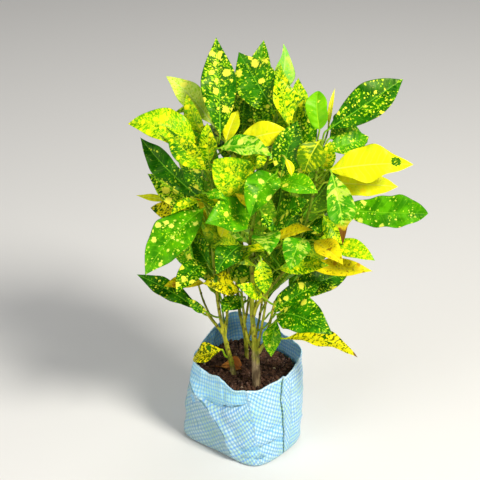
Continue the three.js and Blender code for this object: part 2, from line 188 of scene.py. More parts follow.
class Look:
    """A material and the nodes that it is made of."""
    ground = None  # the colour so far, that paint() covers

    def __init__(self, name, **sockets):
        self.material = bpy.data.materials.new(name)
        self.material.use_nodes = True
        self.tree = self.material.node_tree
        self.shader = self.tree.nodes["Principled BSDF"]
        self.set(**sockets)

    def set(self, **sockets):
        """Gives the shader's sockets a value or a wire. _ stands for a space in a socket's name."""
        for socket, value in sockets.items():
            self.put(value, self.shader.inputs[socket.replace("_", " ")])

    def put(self, value, socket):
        if isinstance(value, Wire):
            self.tree.links.new(value.socket, socket)
        elif hasattr(value, "__len__") and socket.type == "RGBA":
            socket.default_value = (*value, 1)
        else:
            socket.default_value = value

    def node(self, kind, inputs, out=0, **settings):
        node = self.tree.nodes.new("ShaderNode" + kind)
        for key, value in settings.items():
            setattr(node, key, value)
        for key, value in inputs.items():
            self.put(value, node.inputs[key])
        return Wire(self, node.outputs[out])

    def math(self, operation, *values):
        return self.node("Math", dict(enumerate(values)), operation=operation)

    def attribute(self, name, out="Vector"):
        return self.node("Attribute", {}, out, attribute_name=name)

    def place(self):
        """Where a point is on the plant, in metres."""
        return self.node("TexCoord", {}, "Object")

    def parts(self, vector):
        outputs = self.node("SeparateXYZ", {0: vector}).socket.node.outputs
        return [Wire(self, socket) for socket in outputs]

    def join(self, x, y):
        return self.node("CombineXYZ", {0: x, 1: y})

    def step(self, value, low, high, start=0.0, end=1.0):
        """A smooth change from start, where the value is low, to end, where it is high."""
        inputs = {"Value": value, "From Min": low, "From Max": high, "To Min": start, "To Max": end}
        return self.node("MapRange", inputs, interpolation_type="SMOOTHSTEP")

    def zigzag(self, value, period):
        """0 where the value is a multiple of the period and 0.5 halfway between two."""
        return self.math("PINGPONG", value / period, 0.5)

    def mix(self, share, a, b):
        return self.node("Mix", {0: share, 6: a, 7: b}, 2, data_type="RGBA")

    def paint(self, *layers):
        """Lays a colour over the ground for each (share, colour)."""
        for share, colour in layers:
            self.ground = self.mix(share, self.ground, colour)
        self.set(Base_Color=self.ground)

    def noise(self, vector, size, detail=2.0, out="Fac"):
        """Noise with lumps of that size, in the vector's own unit."""
        return self.node("TexNoise", {"Vector": vector, "Scale": 1 / size, "Detail": detail}, out)

    def shake(self, vector, size, amount):
        """How far noise with lumps of that size moves the vector."""
        return (self.noise(vector, size, out="Color") - [0.5] * 3) * ([amount] * 3)

    def cells(self, vector, size, out="Distance"):
        return self.node("TexVoronoi", {"Vector": vector, "Scale": 1 / size}, out, voronoi_dimensions="2D")

    def dots(self, place, size, share, largest, soft, ragged=0.4):
        """Round spots in cells of that size, in about that share of them."""
        chance = self.parts(self.cells(place, size, "Color"))[0]
        radius = self.math("MINIMUM", (share - chance) / share * largest, largest * 0.8)
        torn = (self.noise(place, size * 0.2) - 0.5) * ragged
        return self.step(radius - self.cells(place, size) + torn, 0.0, soft)

    def bump(self, height, distance, strength):
        self.set(Normal=self.node("Bump", {"Height": height, "Distance": distance, "Strength": strength}))


VEIN_SLANT = 0.55  # how far a side vein runs towards the tip for each mm outwards
VEIN_GAP = 6.5


def leaf_look(name, deep, light, fine, fine_share, blotch, blotch_share, vein, patches=0.75, warp=4.0,
              spatter=0.66, spatter_size=2.0, fine_size=3.0, blotch_size=8.5, halo=0.13, ragged=0.4,
              veins=0.3, gap=VEIN_GAP, stripes=0.0, rim=0.35, brown=0.0, roughness=0.4,
              stalk=(0.2, 0.36, 0.008), below=(0.2, 0.4, 0.02), mark=(0.02, 0.012, 0.003)):
    """A leaf's skin: ground, veins, spatter, dots, blotches, margin, dead tip and underside, in mm."""
    look = Look(name, Specular_IOR_Level=0.28, Specular_Tint=(0.85, 1.0, 0.25), Coat_Weight=0.03,
                Coat_Roughness=0.2)
    seed = look.attribute("seed")
    extra, lightness, dead = look.parts(look.attribute("tone"))
    rib, under, edge = look.parts(look.attribute("place"))
    u, v, share = look.parts(look.attribute("blade"))
    aside = look.math("ABSOLUTE", v)
    flat = look.join(u, v) + seed
    place = flat + look.shake(flat, 8, warp) + look.shake(flat, 2.2, 2.6)
    yellower = (look.noise(flat, 20, 1.0) - 0.5) * 1.6 + extra
    tone = look.step(look.noise(flat, 12, 3.0), 0.35, 0.68, -0.1, patches) + lightness
    look.ground = look.mix(look.math("MINIMUM", tone, 1.0), deep, light)

    # Side veins: bands that run outwards and towards the tip.
    wavy = u - aside * VEIN_SLANT + look.noise(flat, 9, 1.0) * 3.0
    band = look.zigzag(wavy, gap)
    streaky = look.join(wavy, v * 0.62) + seed
    if stripes:
        striped = look.noise(streaky, 4.5, 3.0) + yellower * 0.32 + band * 0.3
        look.paint((look.step(striped, 0.54, 0.63) * stripes, blotch))
    look.paint((look.step(band, 0.07, 0.0) * look.step(edge, 1.0, 0.55) * veins, vein))

    spattered = look.noise(streaky, spatter_size, 3.0) + yellower * 0.16
    kind = look.parts(look.cells(place, fine_size, "Color"))[1]
    fine_share = look.math("MAXIMUM", yellower + fine_share, 0.02)
    blotch_share = look.math("MAXIMUM", yellower + blotch_share, 0.01)
    look.paint((look.step(spattered, spatter, spatter + 0.05) * 0.85, fine),
               (look.dots(place, fine_size, fine_share, 0.5, 0.12), look.mix(kind, fine, blotch)),
               (look.dots(place, blotch_size, blotch_share, 0.62, halo, ragged), blotch))

    midrib = look.step(aside / (1.05 - share * 0.7), 1.0, 0.35) * 0.75
    scribble = look.attribute("mark", "Fac") * look.noise(flat, 2.0, 3.0)
    fading = share - look.noise(flat, 7, 4.0) * 0.22 + dead
    withered = look.step(fading, 0.88, 0.92)
    if brown:
        spots = look.step(look.noise(flat, 8, 4.0), 0.66 - brown, 0.7 - brown * 0.6)
        withered = look.math("MAXIMUM", withered, spots * 0.75)
    look.paint((midrib, vein),
               (rib, look.mix(look.step(u, -4, 6), stalk, vein)),
               (look.step(edge, 0.955, 1.0) * rim, DULL_EDGE),
               (look.step(scribble, 0.22, 0.3) - look.step(scribble, 0.48, 0.54), mark),
               (look.step(fading, 0.8, 0.88) * look.step(dead, 0.1, 0.2), FADED),
               (withered, WITHERED))
    look.paint((under * 0.7, look.mix(0.5, look.ground, below)))

    look.bump(band * 1.2 - midrib + look.noise(flat, 1.6) * 0.35, 0.00028, 0.8)
    dull = look.step(look.noise(flat, 6, 3.0), 0.3, 0.75, roughness - 0.06, roughness + 0.14)
    look.set(Roughness=dull)
    return look.material


DEEP_GREEN = (0.004, 0.095, 0.0005)
GREEN = (0.045, 0.29, 0.0005)
BRIGHT = (0.1, 0.43, 0.0005)
LIME = (0.4, 0.72, 0.004)
CLEAR_YELLOW = (0.9, 0.86, 0.006)
PALE_YELLOW = (0.93, 0.9, 0.06)
DULL_EDGE = (0.3, 0.26, 0.004)
FADED = (0.55, 0.42, 0.01)
WITHERED = (0.16, 0.06, 0.004)

# Name, ground where deep and light, fine dots' colour and share, blotches' colour and share, veins, and
# what else differs.
LEAF_LOOKS = {name: leaf_look(name, *colours, **rest) for name, *colours, rest in [
    ("gold_dust", DEEP_GREEN, GREEN, LIME, 0.55, PALE_YELLOW, 0.26, (0.17, 0.5, 0.015),
     dict(spatter=0.57, blotch_size=9.5, patches=0.5)),
    ("bright_green", (0.015, 0.19, 0.0005), BRIGHT, LIME, 0.5, PALE_YELLOW, 0.12, (0.2, 0.56, 0.01),
     dict(veins=0.45, spatter=0.56, blotch_size=9.5)),
    ("speckled", (0.01, 0.16, 0.0005), (0.17, 0.5, 0.001), (0.56, 0.76, 0.004), 0.7, CLEAR_YELLOW, 0.45,
     (0.45, 0.66, 0.01), dict(fine_size=2.6, blotch_size=6, warp=5.0, spatter=0.49, spatter_size=2.3)),
    ("marbled", (0.03, 0.25, 0.002), (0.1, 0.46, 0.004), LIME, 0.3, (0.72, 0.86, 0.1), 0.12,
     (0.4, 0.7, 0.04), dict(stripes=0.7, gap=8.0, warp=6.0, spatter=0.56)),
    ("yellow", CLEAR_YELLOW, (0.74, 0.84, 0.006), (0.55, 0.74, 0.004), 0.05, (0.88, 0.74, 0.006), 0.05,
     (0.9, 0.92, 0.1), dict(rim=0.1, roughness=0.42, below=(0.7, 0.68, 0.01), mark=(0.03, 0.17, 0.002))),
    ("old_gold", (0.74, 0.56, 0.003), (0.84, 0.76, 0.004), (0.34, 0.4, 0.003), 0.4, (0.5, 0.27, 0.005),
     0.14, (0.84, 0.72, 0.03), dict(roughness=0.5, brown=0.05, spatter=0.6, below=(0.6, 0.46, 0.01))),
    ("spotted", (0.01, 0.15, 0.0005), BRIGHT, LIME, 0.3, (0.8, 0.88, 0.1), 0.34, (0.2, 0.56, 0.01),
     dict(veins=0.4, spatter=0.63, blotch_size=8, halo=0.2, ragged=0.22)),
    ("pale", (0.22, 0.6, 0.07), (0.72, 0.92, 0.12), LIME, 0.2, (0.92, 0.93, 0.1), 0.16, (0.7, 0.9, 0.25),
     dict(spatter=0.56, fine_size=2.4)),
    ("streaked", (0.3, 0.42, 0.001), (0.72, 0.74, 0.003), (0.1, 0.26, 0.001), 0.3, (0.05, 0.17, 0.001),
     0.05, (0.7, 0.75, 0.02), dict(stripes=0.9, gap=4.5, fine_size=2.4, spatter=0.56)),
    ("dark_speckled", (0.74, 0.64, 0.003), (0.8, 0.74, 0.004), (0.01, 0.05, 0.0005), 0.8,
     (0.02, 0.12, 0.0005), 0.2, (0.6, 0.66, 0.01),
     dict(fine_size=3.2, spatter=0.53, spatter_size=2.6, below=(0.6, 0.56, 0.01))),
    ("dry", (0.24, 0.055, 0.012), (0.8, 0.3, 0.06), (0.75, 0.4, 0.14), 0.2, (0.16, 0.05, 0.02), 0.15,
     (0.14, 0.04, 0.012),
     dict(roughness=0.7, rim=0.5, spatter=0.62, below=(0.4, 0.2, 0.08), stalk=(0.14, 0.04, 0.012))),
    ("young", (0.13, 0.48, 0.001), (0.22, 0.6, 0.002), LIME, 0.03, PALE_YELLOW, 0.01, (0.36, 0.7, 0.01),
     dict(rim=0.1, spatter=0.8)),
]}

# ---- Grow bag ----

# The base's outline and the rim's, in the same order: left corner, left front, front corner, right
# front, right corner, right back, back corner, left back. Each side between two corners is a quarter.
BAG_BASE = [(-65, -3, 0), (-27, -42, 0), (16, -71, 0), (48, -45, 0), (66, -9, 0), (44, 36, 0), (0, 68, 0),
            (-38, 34, 0)]
BAG_RIM = [(-52, -6, 99), (-28, -40, 95), (5, -61, 91), (45, -42, 97), (66, 2, 105), (42, 42, 108),
           (-8, 68, 118), (-40, 31, 105)]
BAG_BULGE = 3.0
BAG_EDGE_RADIUS = 5.0
BAG_WALL = 1.0
BAG_FLOOR = 0.6
WEAVE_PITCH = 4.4
STITCH = 4.4
SEAM = [(0.37, 1.0), (0.357, 0.74), (0.359, 0.42), (0.366, 0.04)]

# Folds in the sheet: points (share of the way round, share of the wall's height), how far the sheet
# stands out along it in mm (in if negative) and how far the fold spreads to each side in mm.
FOLDS = [
    ([(0.024, 0.76), (0.061, 0.66), (0.103, 0.58), (0.136, 0.47), (0.161, 0.34), (0.176, 0.12)], 3.4, 13),
    ([(0.089, 0.66), (0.114, 0.66), (0.146, 0.67), (0.18, 0.72), (0.213, 0.78), (0.249, 0.83)], -3.2, 7),
    ([(0.163, 0.98), (0.16, 0.83), (0.159, 0.71)], -1.2, 5),
    ([(0.224, 0.61), (0.246, 0.61), (0.263, 0.6)], -1.0, 4),
    ([(0.263, 0.6), (0.26, 0.48), (0.257, 0.3)], 1.2, 6),
    ([(0.347, 0.44), (0.31, 0.43), (0.276, 0.43)], -2.0, 5),
    ([(0.36, 0.24), (0.32, 0.28), (0.28, 0.27), (0.249, 0.24), (0.211, 0.21)], -2.4, 6),
    ([(0.024, 0.46), (0.049, 0.38), (0.066, 0.28)], -1.4, 6),
    ([(0.25, 1.0), (0.249, 0.83), (0.271, 0.7)], 1.4, 9),
    ([(0.4, 0.35), (0.43, 0.5), (0.44, 0.62)], -1.2, 6),
    ([(0.2, 0.1), (0.26, 0.13), (0.33, 0.12)], -1.2, 5),
    ([(0.54, 0.8), (0.58, 0.6), (0.6, 0.35)], -1.8, 8),
    ([(0.62, 0.95), (0.65, 0.7), (0.7, 0.5)], 2.2, 10),
    ([(0.68, 0.45), (0.73, 0.4), (0.79, 0.42)], -1.6, 6),
    ([(0.84, 0.9), (0.86, 0.65), (0.9, 0.4)], -1.8, 8),
    ([(0.9, 0.75), (0.94, 0.6), (0.97, 0.35)], 1.8, 9),
    ([(0.74, 0.2), (0.8, 0.16), (0.88, 0.2)], -1.3, 6),
]
WALL_WIDTH, WALL_HEIGHT = 460.0, 100.0  # mm round the wall and up it, only to measure folds


def bag_edges(share):
    """Points of the base's outline and of the rim's."""
    return (spline(line, share, closed=True) for line in (BAG_BASE, BAG_RIM))


def line_gap(share, rise, line):
    """Distance in mm from places on the wall, as two arrays of shares, to a line of such shares."""
    x, y = share * WALL_WIDTH, rise * WALL_HEIGHT
    points = [(s * WALL_WIDTH, r * WALL_HEIGHT) for s, r in line]
    best = np.full(x.shape, np.inf)
    for (ax, ay), (bx, by) in zip(points, points[1:]):
        dx, dy = bx - ax, by - ay
        t = np.clip(((x - ax) * dx + (y - ay) * dy) / (dx * dx + dy * dy), 0, 1)
        best = np.minimum(best, np.hypot(x - ax - t * dx, y - ay - t * dy))
    return best


def bell(value, middle, spread):
    """1 at the middle and almost 0 from twice the spread on."""
    return np.exp(-(((value - middle) / spread) ** 2))


def crumples(x, y, z):
    """Small creases all over the sheet: how far it stands out at a point."""
    return (noise.noise((x / 17, y / 17, z / 15)) * 1.3 - abs(noise.noise((x / 24, y / 24, z / 20 + 9))) * 2.2
            + abs(noise.noise((x / 7, y / 7, z / 6))) * 0.9)


def bag_wall(share, rise, inset):
    """Points of the wall, the painted shade along its creases and the seam, for an array of shares round it
    and one share of its height.
    """
    base, rim = bag_edges(share)
    outward = unit((np.roll(rim, -1, axis=0) - np.roll(rim, 1, axis=0))[:, [1, 0, 2]] * (1, -1, 0))
    point = base + (rim - base) * rise
    below = max(0.0, BAG_EDGE_RADIUS - rise * WALL_HEIGHT)
    turn = BAG_EDGE_RADIUS - math.sqrt(BAG_EDGE_RADIUS**2 - below**2)
    fold, crease_shade = np.zeros(share.shape), np.zeros(share.shape)
    for line, depth, spread in FOLDS:
        away = line_gap(share, rise, line)
        fold += depth * np.maximum(0, 1 - away / spread) ** 1.15
        # painted shade: a dark line along each fold's crease
        crease_shade = np.maximum(crease_shade, bell(away, 0, 1.3) * min(1, abs(depth) / 2.5))
    crumple = np.array([crumples(*p) for p in point])
    seam = bell(line_gap(share, rise, SEAM), 0, 1.8)
    hem = 0.7 * smooth(rise, 0.955, 0.965)
    loose = smooth(rise, 0.0, 0.12)
    out = BAG_BULGE * math.sin(math.pi * rise) - turn - inset + (fold + crumple + 0.9 * seam) * loose + hem
    point = point + outward * out[:, None]
    if rise > 0.9:  # the limp rim
        dip = 0.8 * np.sin(share * 61) + 0.55 * np.sin(share * 97 + 2)
        notch = 2.2 * bell(share, 0.372, 0.008) - 1.8 * bell(share, 0.39, 0.012)
        flap = 3.4 * bell(share, 0.15, 0.024) - 2.6 * bell(share, 0.2, 0.022)
        point[:, 2] += (dip + notch + flap) * smooth(rise, 0.9, 1.0)
    return point, crease_shade, seam


def panel(share, rise):
    """Between the folds: the weave's turn, how blue it is and how much painted shade darkens the left side,
    for shares round the wall.
    """
    flap_edge = np.interp(share, [0, 0.089, 0.146, 0.213, 0.25], [0.7, 0.66, 0.67, 0.78, 0.84])
    flap = (share < 0.25) & (rise > flap_edge)
    long_fold = np.interp(share, [0.0, 0.024, 0.103, 0.161, 0.18], [0.8, 0.76, 0.58, 0.34, 0.05])
    right_front = (share > 0.25 + 0.02 * (1 - rise)) & (share < 0.368)
    degrees = np.select([flap, right_front, share < 0.4], [-5.0, 27.0, -33.0], 4.0)
    # painted shade: the left side of the wall darker, below the long fold and near the left corner
    left_side_shade = np.where(share < 0.18, smooth(long_fold - rise, 0.0, 0.05),
                    smooth(share, 0.86, 1.0) * smooth(rise, 0.9, 0.6))
    return np.radians(degrees), flap.astype(float), left_side_shade


def grow_bag():
    """The bag as one closed sheet: up the outside, over the rim and down the inside."""
    around = np.linspace(0, 1, 340, endpoint=False)
    lengths = around * WALL_WIDTH
    rim_height = spline(BAG_RIM, around, closed=True)[:, 2]
    up = [0, 0.008, 0.02, 0.035, 0.05, *np.linspace(0.07, 0.95, 84), 0.96, 0.972, 0.985, 1.0]
    down = [1.0, 0.985, 0.965, 0.95, 0.92, 0.88, 0.84, 0.8, 0.76, 0.7, 0.5, 0.3, 0.05]
    rings, made = [], {"weave": [], "crease_shade_seam": [], "tint_and_shade": []}
    for rise, inside in [(rise, 0.0) for rise in up] + [(rise, 1.0) for rise in down]:
        ring, crease_shade, seam = bag_wall(around, rise, BAG_WALL * inside)
        if rise == 0:
            ring[:, 2] = 0
        ring[:, 2] = np.maximum(ring[:, 2], BAG_FLOOR * inside)
        rings.append(ring)
        turn, blue, left_side_shade = panel(around, rise)
        high = rise * rim_height
        same = np.ones(around.shape)
        made["weave"].append(np.stack([lengths * np.cos(turn) - high * np.sin(turn),
                                       lengths * np.sin(turn) + high * np.cos(turn), same * inside], 1))
        made["crease_shade_seam"].append(np.stack([crease_shade, seam, same * rise], 1))
        made["tint_and_shade"].append(np.stack([blue, left_side_shade, high], 1))
    start = np.mean(rings[0], axis=0) * (1, 1, 0)
    pad = np.zeros((1, 3))
    attributes = {name: np.vstack([pad, *values, pad]) for name, values in made.items()}
    return loft(rings, start, start + (0, 0, 0.8), **attributes)


def bag_look():
    """The woven sheet: tapes that cross, threads, dirt and a darker band at the bottom, painted shade in the
    creases and on the left side, the sewn seam, the hem with a painted highlight, and painted light on the
    inner wall.
    """
    look = Look("woven_sheet", Roughness=0.5, Specular_IOR_Level=0.5, Sheen_Weight=0.05)
    weave = look.attribute("weave")
    inside = look.parts(weave)[2]
    crease_shade, seam, rise = look.parts(look.attribute("crease_shade_seam"))
    bluer, painted_left_shade, height = look.parts(look.attribute("tint_and_shade"))
    place = look.place()
    wu, wv, _ = look.parts(weave + look.shake(weave, 14, 1.6))
    across, upward = look.zigzag(wu, WEAVE_PITCH), look.zigzag(wv, WEAVE_PITCH)
    tape_u, tape_v = look.step(across, 0.17, 0.31), look.step(upward, 0.17, 0.31)
    patch = look.step(look.noise(place, 0.045, 1.0), 0.35, 0.7) * 0.35
    deep = look.math("MAXIMUM", bluer * 0.75, patch)
    blue = look.mix(deep, (0.19, 0.42, 0.84), (0.1, 0.4, 0.95))
    pale = look.mix(deep, (0.36, 0.64, 0.82), (0.3, 0.7, 0.95))
    mint = look.mix(look.step(look.noise(place, 0.02), 0.4, 0.62), (0.66, 0.86, 0.86), (0.54, 0.82, 0.54))
    thread = look.step(look.zigzag(wv, WEAVE_PITCH * 2), 0.1, 0.03)
    grime = look.step(look.noise(place, 0.012, 4.0), 0.55, 0.75) * 0.22
    # painted shade: dark lines in the creases, broken up by noise
    line = look.step(crease_shade, 0.25, 0.85) * look.step(look.noise(place, 0.01), 0.3, 0.6)
    stitch = look.step(look.zigzag(height, STITCH), 0.12, 0.2)
    # the hem, with a painted highlight: a paler band along the rim's outside
    hem = look.step(rise, 0.975, 0.99) * (1.0 - inside)
    look.ground = look.mix(look.math("MAXIMUM", tape_u, tape_v) * 0.72, blue, pale)
    look.paint((tape_u * tape_v, mint),
               (thread * 0.4, (0.42, 0.62, 0.3)),
               (bluer * 0.3, (0.45, 0.88, 1.0)),
               # dirt in patches, and darker towards the bottom of the wall
               (grime + look.step(rise, 0.14, 0.0) * 0.25, (0.34, 0.44, 0.36)),
               # painted shade on the left side of the wall
               (painted_left_shade * 0.4, (0.2, 0.28, 0.2)),
               # painted shade in the creases
               (line * 0.85, (0.05, 0.17, 0.2)),
               (look.step(seam, 0.35, 0.7) * (stitch * 0.25 + 0.68), (0.02, 0.11, 0.09)),
               # painted highlight along the hem
               (hem * 0.45, (0.8, 0.94, 0.97)),
               # painted light: the inner wall a lighter blue, for light that shines through the sheet
               (inside * 0.35, (0.12, 0.5, 0.95)))
    relief = look.step(across, 0.1, 0.35) + look.step(upward, 0.1, 0.35) + look.noise(place, 0.004, 3.0) * 1.5
    look.bump(relief, 0.0003, 0.6)
    return look.material


show("woven_bag", grow_bag(), bag_look(), ["grow_bag"])

# ---- Soil ----

SOIL_EDGE = 84
SOIL_INSET = 4.8
BAG_RADIUS = 62
CRUMBS = 2400


def soil_height(x, y):
    """The CAD soil's height: a mound round the stems, with shallow hollows."""
    mound = 5 * math.exp(-((x / 38) ** 2 + ((y + 5) / 42) ** 2))
    return SOIL_EDGE + mound + 1.2 * math.sin(x / 9 + 1) * math.cos(y / 11 - 0.5)


def lumps(x, y):
    """Clods and crumbs on the soil's surface."""
    clods = noise.noise((x / 9, y / 9, 3.1)) * 2.0 + abs(noise.noise((x / 3.6, y / 3.6, 7.7))) * 3.2
    return clods + noise.noise((x / 1.3, y / 1.3, 1.3)) * 0.7 - 1.2


def soil():
    """The soil's sides, below the bag's rim, and its lumpy top in rings that get smaller."""
    around = np.linspace(0, 1, 200, endpoint=False)
    rings = []
    for rise in (0.05, 0.3, 0.6, 0.8):
        base, rim = bag_edges(around)
        top = SOIL_EDGE * rise
        ring = base + (rim - base) * (top / rim[:, 2:])
        middle = ring.mean(axis=0)
        ring = middle + (ring - middle) * (1 - SOIL_INSET / BAG_RADIUS)
        ring[:, 2] = top
        rings.append(ring)
    edge = rings[-1]
    for reach in np.linspace(1, 0.02, 62):
        ring = edge * reach
        ring[:, 2] = [soil_height(x, y) + lumps(x, y) for x, y in ring[:, :2]]
        rings.append(ring)
    return loft(rings, np.array([0, 0, rings[0][0, 2]]), np.array([0, 0, soil_height(0, 0)]))


def crumbs():
    """Separate crumbs, most of them small, all over the soil."""
    ball = bmesh.new()
    bmesh.ops.create_icosphere(ball, subdivisions=1, radius=1)
    points = np.array([v.co for v in ball.verts])
    faces = [tuple(v.index for v in f.verts) for f in ball.faces]
    ball.free()
    chance = np.random.default_rng(11)
    edge = spline(BAG_RIM, np.linspace(0, 1, 60, endpoint=False), closed=True)
    made = []
    for _ in range(CRUMBS):
        angle = chance.uniform(0, 2 * math.pi)
        far = edge[int(angle / (2 * math.pi) * 60)]
        reach = math.sqrt(chance.uniform(0, 1)) * 0.9
        x, y = far[0] * reach, far[1] * reach
        size = 0.5 + 2.1 * chance.uniform(0, 1) ** 3
        shape = points * (size * chance.uniform(0.7, 1.3, 3))
        shape *= 1 + chance.uniform(-0.25, 0.25, (len(points), 1))
        at = np.array([x, y, soil_height(x, y) + lumps(x, y) + size * 0.25])
        shade = np.full(len(points), chance.uniform(0, 1))
        made.append((shape + at, faces, {"shade": shade}))
    return together(made)


def soil_look(name, shaded):
    """Dark moist soil. Shaded: some crumbs are paler than others."""
    look = Look(name, Roughness=0.92, Specular_IOR_Level=0.25)
    place = look.place()
    look.ground = look.mix(look.step(look.noise(place, 0.009, 5.0), 0.35, 0.68), (0.012, 0.005, 0.003),
                           (0.09, 0.04, 0.022))
    # painted highlights: paler purple-brown patches on the clods
    look.paint((look.step(look.noise(place, 0.0026, 3.0), 0.55, 0.7), (0.19, 0.11, 0.085)))
    if shaded:
        shade = look.attribute("shade", "Fac")
        look.paint((shade * 0.5, (0.13, 0.06, 0.03)), (look.step(shade, 0.985, 0.99), (0.36, 0.27, 0.18)))
    look.bump(look.noise(place, 0.0012, 4.0), 0.0006, 0.9)
    return look.material


show("potting_mix", soil(), soil_look("potting_mix", False), ["soil"])
show("soil_crumbs", crumbs(), soil_look("soil_crumbs", True))

# ---- Stems ----

# Each stem's course upwards from below the soil, and its radius in mm at shares of that course.
STEMS = {
    "left": ([(-9, -22, 50), (-9, -22, 91), (-16, -24, 126), (-24, -24, 169), (-30, -24, 240),
              (-31, -21, 290), (-29, -17, 330), (-25, -14, 362)],
             [(0, 3.3), (0.15, 2.9), (0.3, 2.5), (0.38, 1.9), (1, 1.5)]),
    "left_low": ([(-18.5, -24, 138), (-24, -26, 147), (-31, -28, 158), (-38, -30, 170)],
                 [(0, 1.6), (1, 1.3)]),
    "left_twig": ([(-18, -24, 136), (-16, -21, 152), (-15, -16, 176), (-14, -8, 214), (-18, 4, 246)],
                  [(0, 1.7), (1, 1.3)]),
    "left_shoot": ([(-16, -23.5, 124), (-21, -23, 141), (-32, -20, 157), (-41, -18, 178), (-47, -16, 200)],
                   [(0, 1.5), (1, 1.1)]),
    "left_thin": ([(-17, -23, 128), (-20, -20, 142), (-16, -24, 158), (-17, -33, 180), (-20, -36, 206)],
                  [(0, 1.4), (1, 1.0)]),
    "back": ([(6, 12, 50), (6, 12, 84), (4, 13, 116), (-2, 15, 146), (-6, 19, 207), (-3, 22, 254),
              (-1, 24, 300), (0, 24, 344)], [(0, 2.6), (0.3, 2.1), (1, 1.5)]),
    "back_side": ([(2.5, 13.5, 128), (6, 16, 146), (10, 24, 176), (16, 34, 220), (22, 40, 268)],
                  [(0, 1.6), (1, 1.3)]),
    "back_thin": ([(5, 12.5, 104), (11, 10, 130), (15, 6, 160), (22, 4, 196), (27, 6, 232)],
                  [(0, 1.5), (1, 1.1)]),
    "right": ([(17, -41, 50), (16, -41, 85), (15, -39, 120), (13, -36, 148), (11, -32, 172), (11, -26, 212),
               (9, -20, 244), (13, -14, 276), (21, -8, 312), (29, -2, 343), (35, 2, 370)],
              [(0, 5.0), (0.1, 4.7), (0.2, 4.3), (0.27, 2.9), (1, 1.6)]),
    "right_inner": ([(15, -38.5, 126), (8, -34, 136), (4, -30, 151), (2, -27, 170), (0, -26, 192)],
                    [(0, 1.9), (1, 1.3)]),
    "right_outer": ([(15.5, -39, 122), (21, -40, 131), (26, -42, 144), (30, -42, 164), (35, -39, 188)],
                    [(0, 2.1), (1, 1.4)]),
    "right_long": ([(12, -33.5, 164), (17, -34, 181), (30, -32, 200), (44, -30, 218), (57, -27, 245),
                    (67, -22, 273), (73, -20, 301), (78, -15, 332), (81, -10, 358)], [(0, 1.9), (1, 1.5)]),
    "right_thin": ([(16, -38, 118), (18, -38, 134), (22, -37, 160), (26, -34, 186), (30, -28, 216)],
                   [(0, 1.7), (1, 1.2)]),
    "right_inside": ([(14.5, -37, 116), (15, -31, 138), (20, -22, 164), (24, -16, 196), (30, -10, 232)],
                     [(0, 1.6), (1, 1.1)]),
}
STEM_SIDES = 14
PLANTS = {
    "stem_left": ["left", "left_low", "left_twig", "left_shoot", "left_thin"],
    "stem_back": ["back", "back_side", "back_thin"],
    "stem_right": ["right", "right_inner", "right_outer", "right_long", "right_thin", "right_inside"],
}


def stem_at(name, height):
    """The stem's centre, direction and radius at a height."""
    course, thickness = STEMS[name]
    shares = np.linspace(0, 1, 400)
    points = spline(course, shares)
    i = int(np.clip(np.searchsorted(points[:, 2], height), 1, 398))
    return points[i], unit(points[i + 1] - points[i - 1]), np.interp(shares[i], *zip(*thickness))


def stem_rod(name, scars):
    """A stem with old leaf scars: rings and small bumps. Their places are added to scars."""
    course, thickness = STEMS[name]
    chance = random.Random(name)
    count = int(np.linalg.norm(np.diff(np.array(course, float), axis=0), axis=1).sum() / 0.8)
    shares = np.linspace(0, 1, count)
    points = spline(course, shares)
    travelled = np.concatenate([[0], np.cumsum(np.linalg.norm(np.diff(points, axis=0), axis=1))])
    radii = np.interp(shares, *zip(*thickness))
    angle = np.linspace(0, 2 * math.pi, STEM_SIDES, endpoint=False)
    bumps = np.zeros((count, STEM_SIDES))
    at = 6.0
    while at < travelled[-1] - 4:
        turn = chance.uniform(0, 2 * math.pi)
        around = bell(np.angle(np.exp(1j * (angle - turn))), 0, 0.9)
        bumps += np.outer(bell(travelled, at, 1.1), 0.1 + 0.55 * around)
        i = int(np.searchsorted(travelled, at))
        side = unit(np.cross(unit(points[min(i + 1, count - 1)] - points[i - 1]), SIDEWAYS))
        scars.append(points[i] + radii[i] * (side * math.cos(turn)))
        at += chance.uniform(7, 17)
    rough = [[noise.noise((a * 2.2, t / 5, course[0][0])) * 0.25 for a in angle] for t in travelled]
    return loft(*tube(points, (radii[:, None] + bumps + rough)[:, :, None], STEM_SIDES))


def stem_object(name, courses, material):
    """The stem's rods, grown together, with the distance to the nearest scar as an attribute."""
    scars = []
    rods = together([stem_rod(course, scars) for course in courses])
    piece = show(name.replace("stem", "bark"), rods, material, [name])
    remesh = piece.modifiers.new("join", "REMESH")
    remesh.mode, remesh.voxel_size, remesh.use_smooth_shade = "VOXEL", 0.0006, True
    soften = piece.modifiers.new("soften", "SMOOTH")
    soften.factor, soften.iterations = 0.5, 3
    joined = bpy.data.meshes.new_from_object(piece.evaluated_get(bpy.context.evaluated_depsgraph_get()))
    piece.modifiers.clear()
    joined.materials.clear()
    joined.materials.append(material)
    piece.data = joined
    co = np.zeros(len(joined.vertices) * 3, np.float32)
    joined.vertices.foreach_get("co", co)
    co = co.reshape(-1, 3) / MM
    mark = np.zeros(len(co))
    for place in scars:
        mark = np.maximum(mark, np.exp(-((co - place) ** 2).sum(1) / 3.2))
    joined.attributes.new("scar", "FLOAT", "POINT").data.foreach_set("value", mark.astype(np.float32))
    joined.shade_smooth()


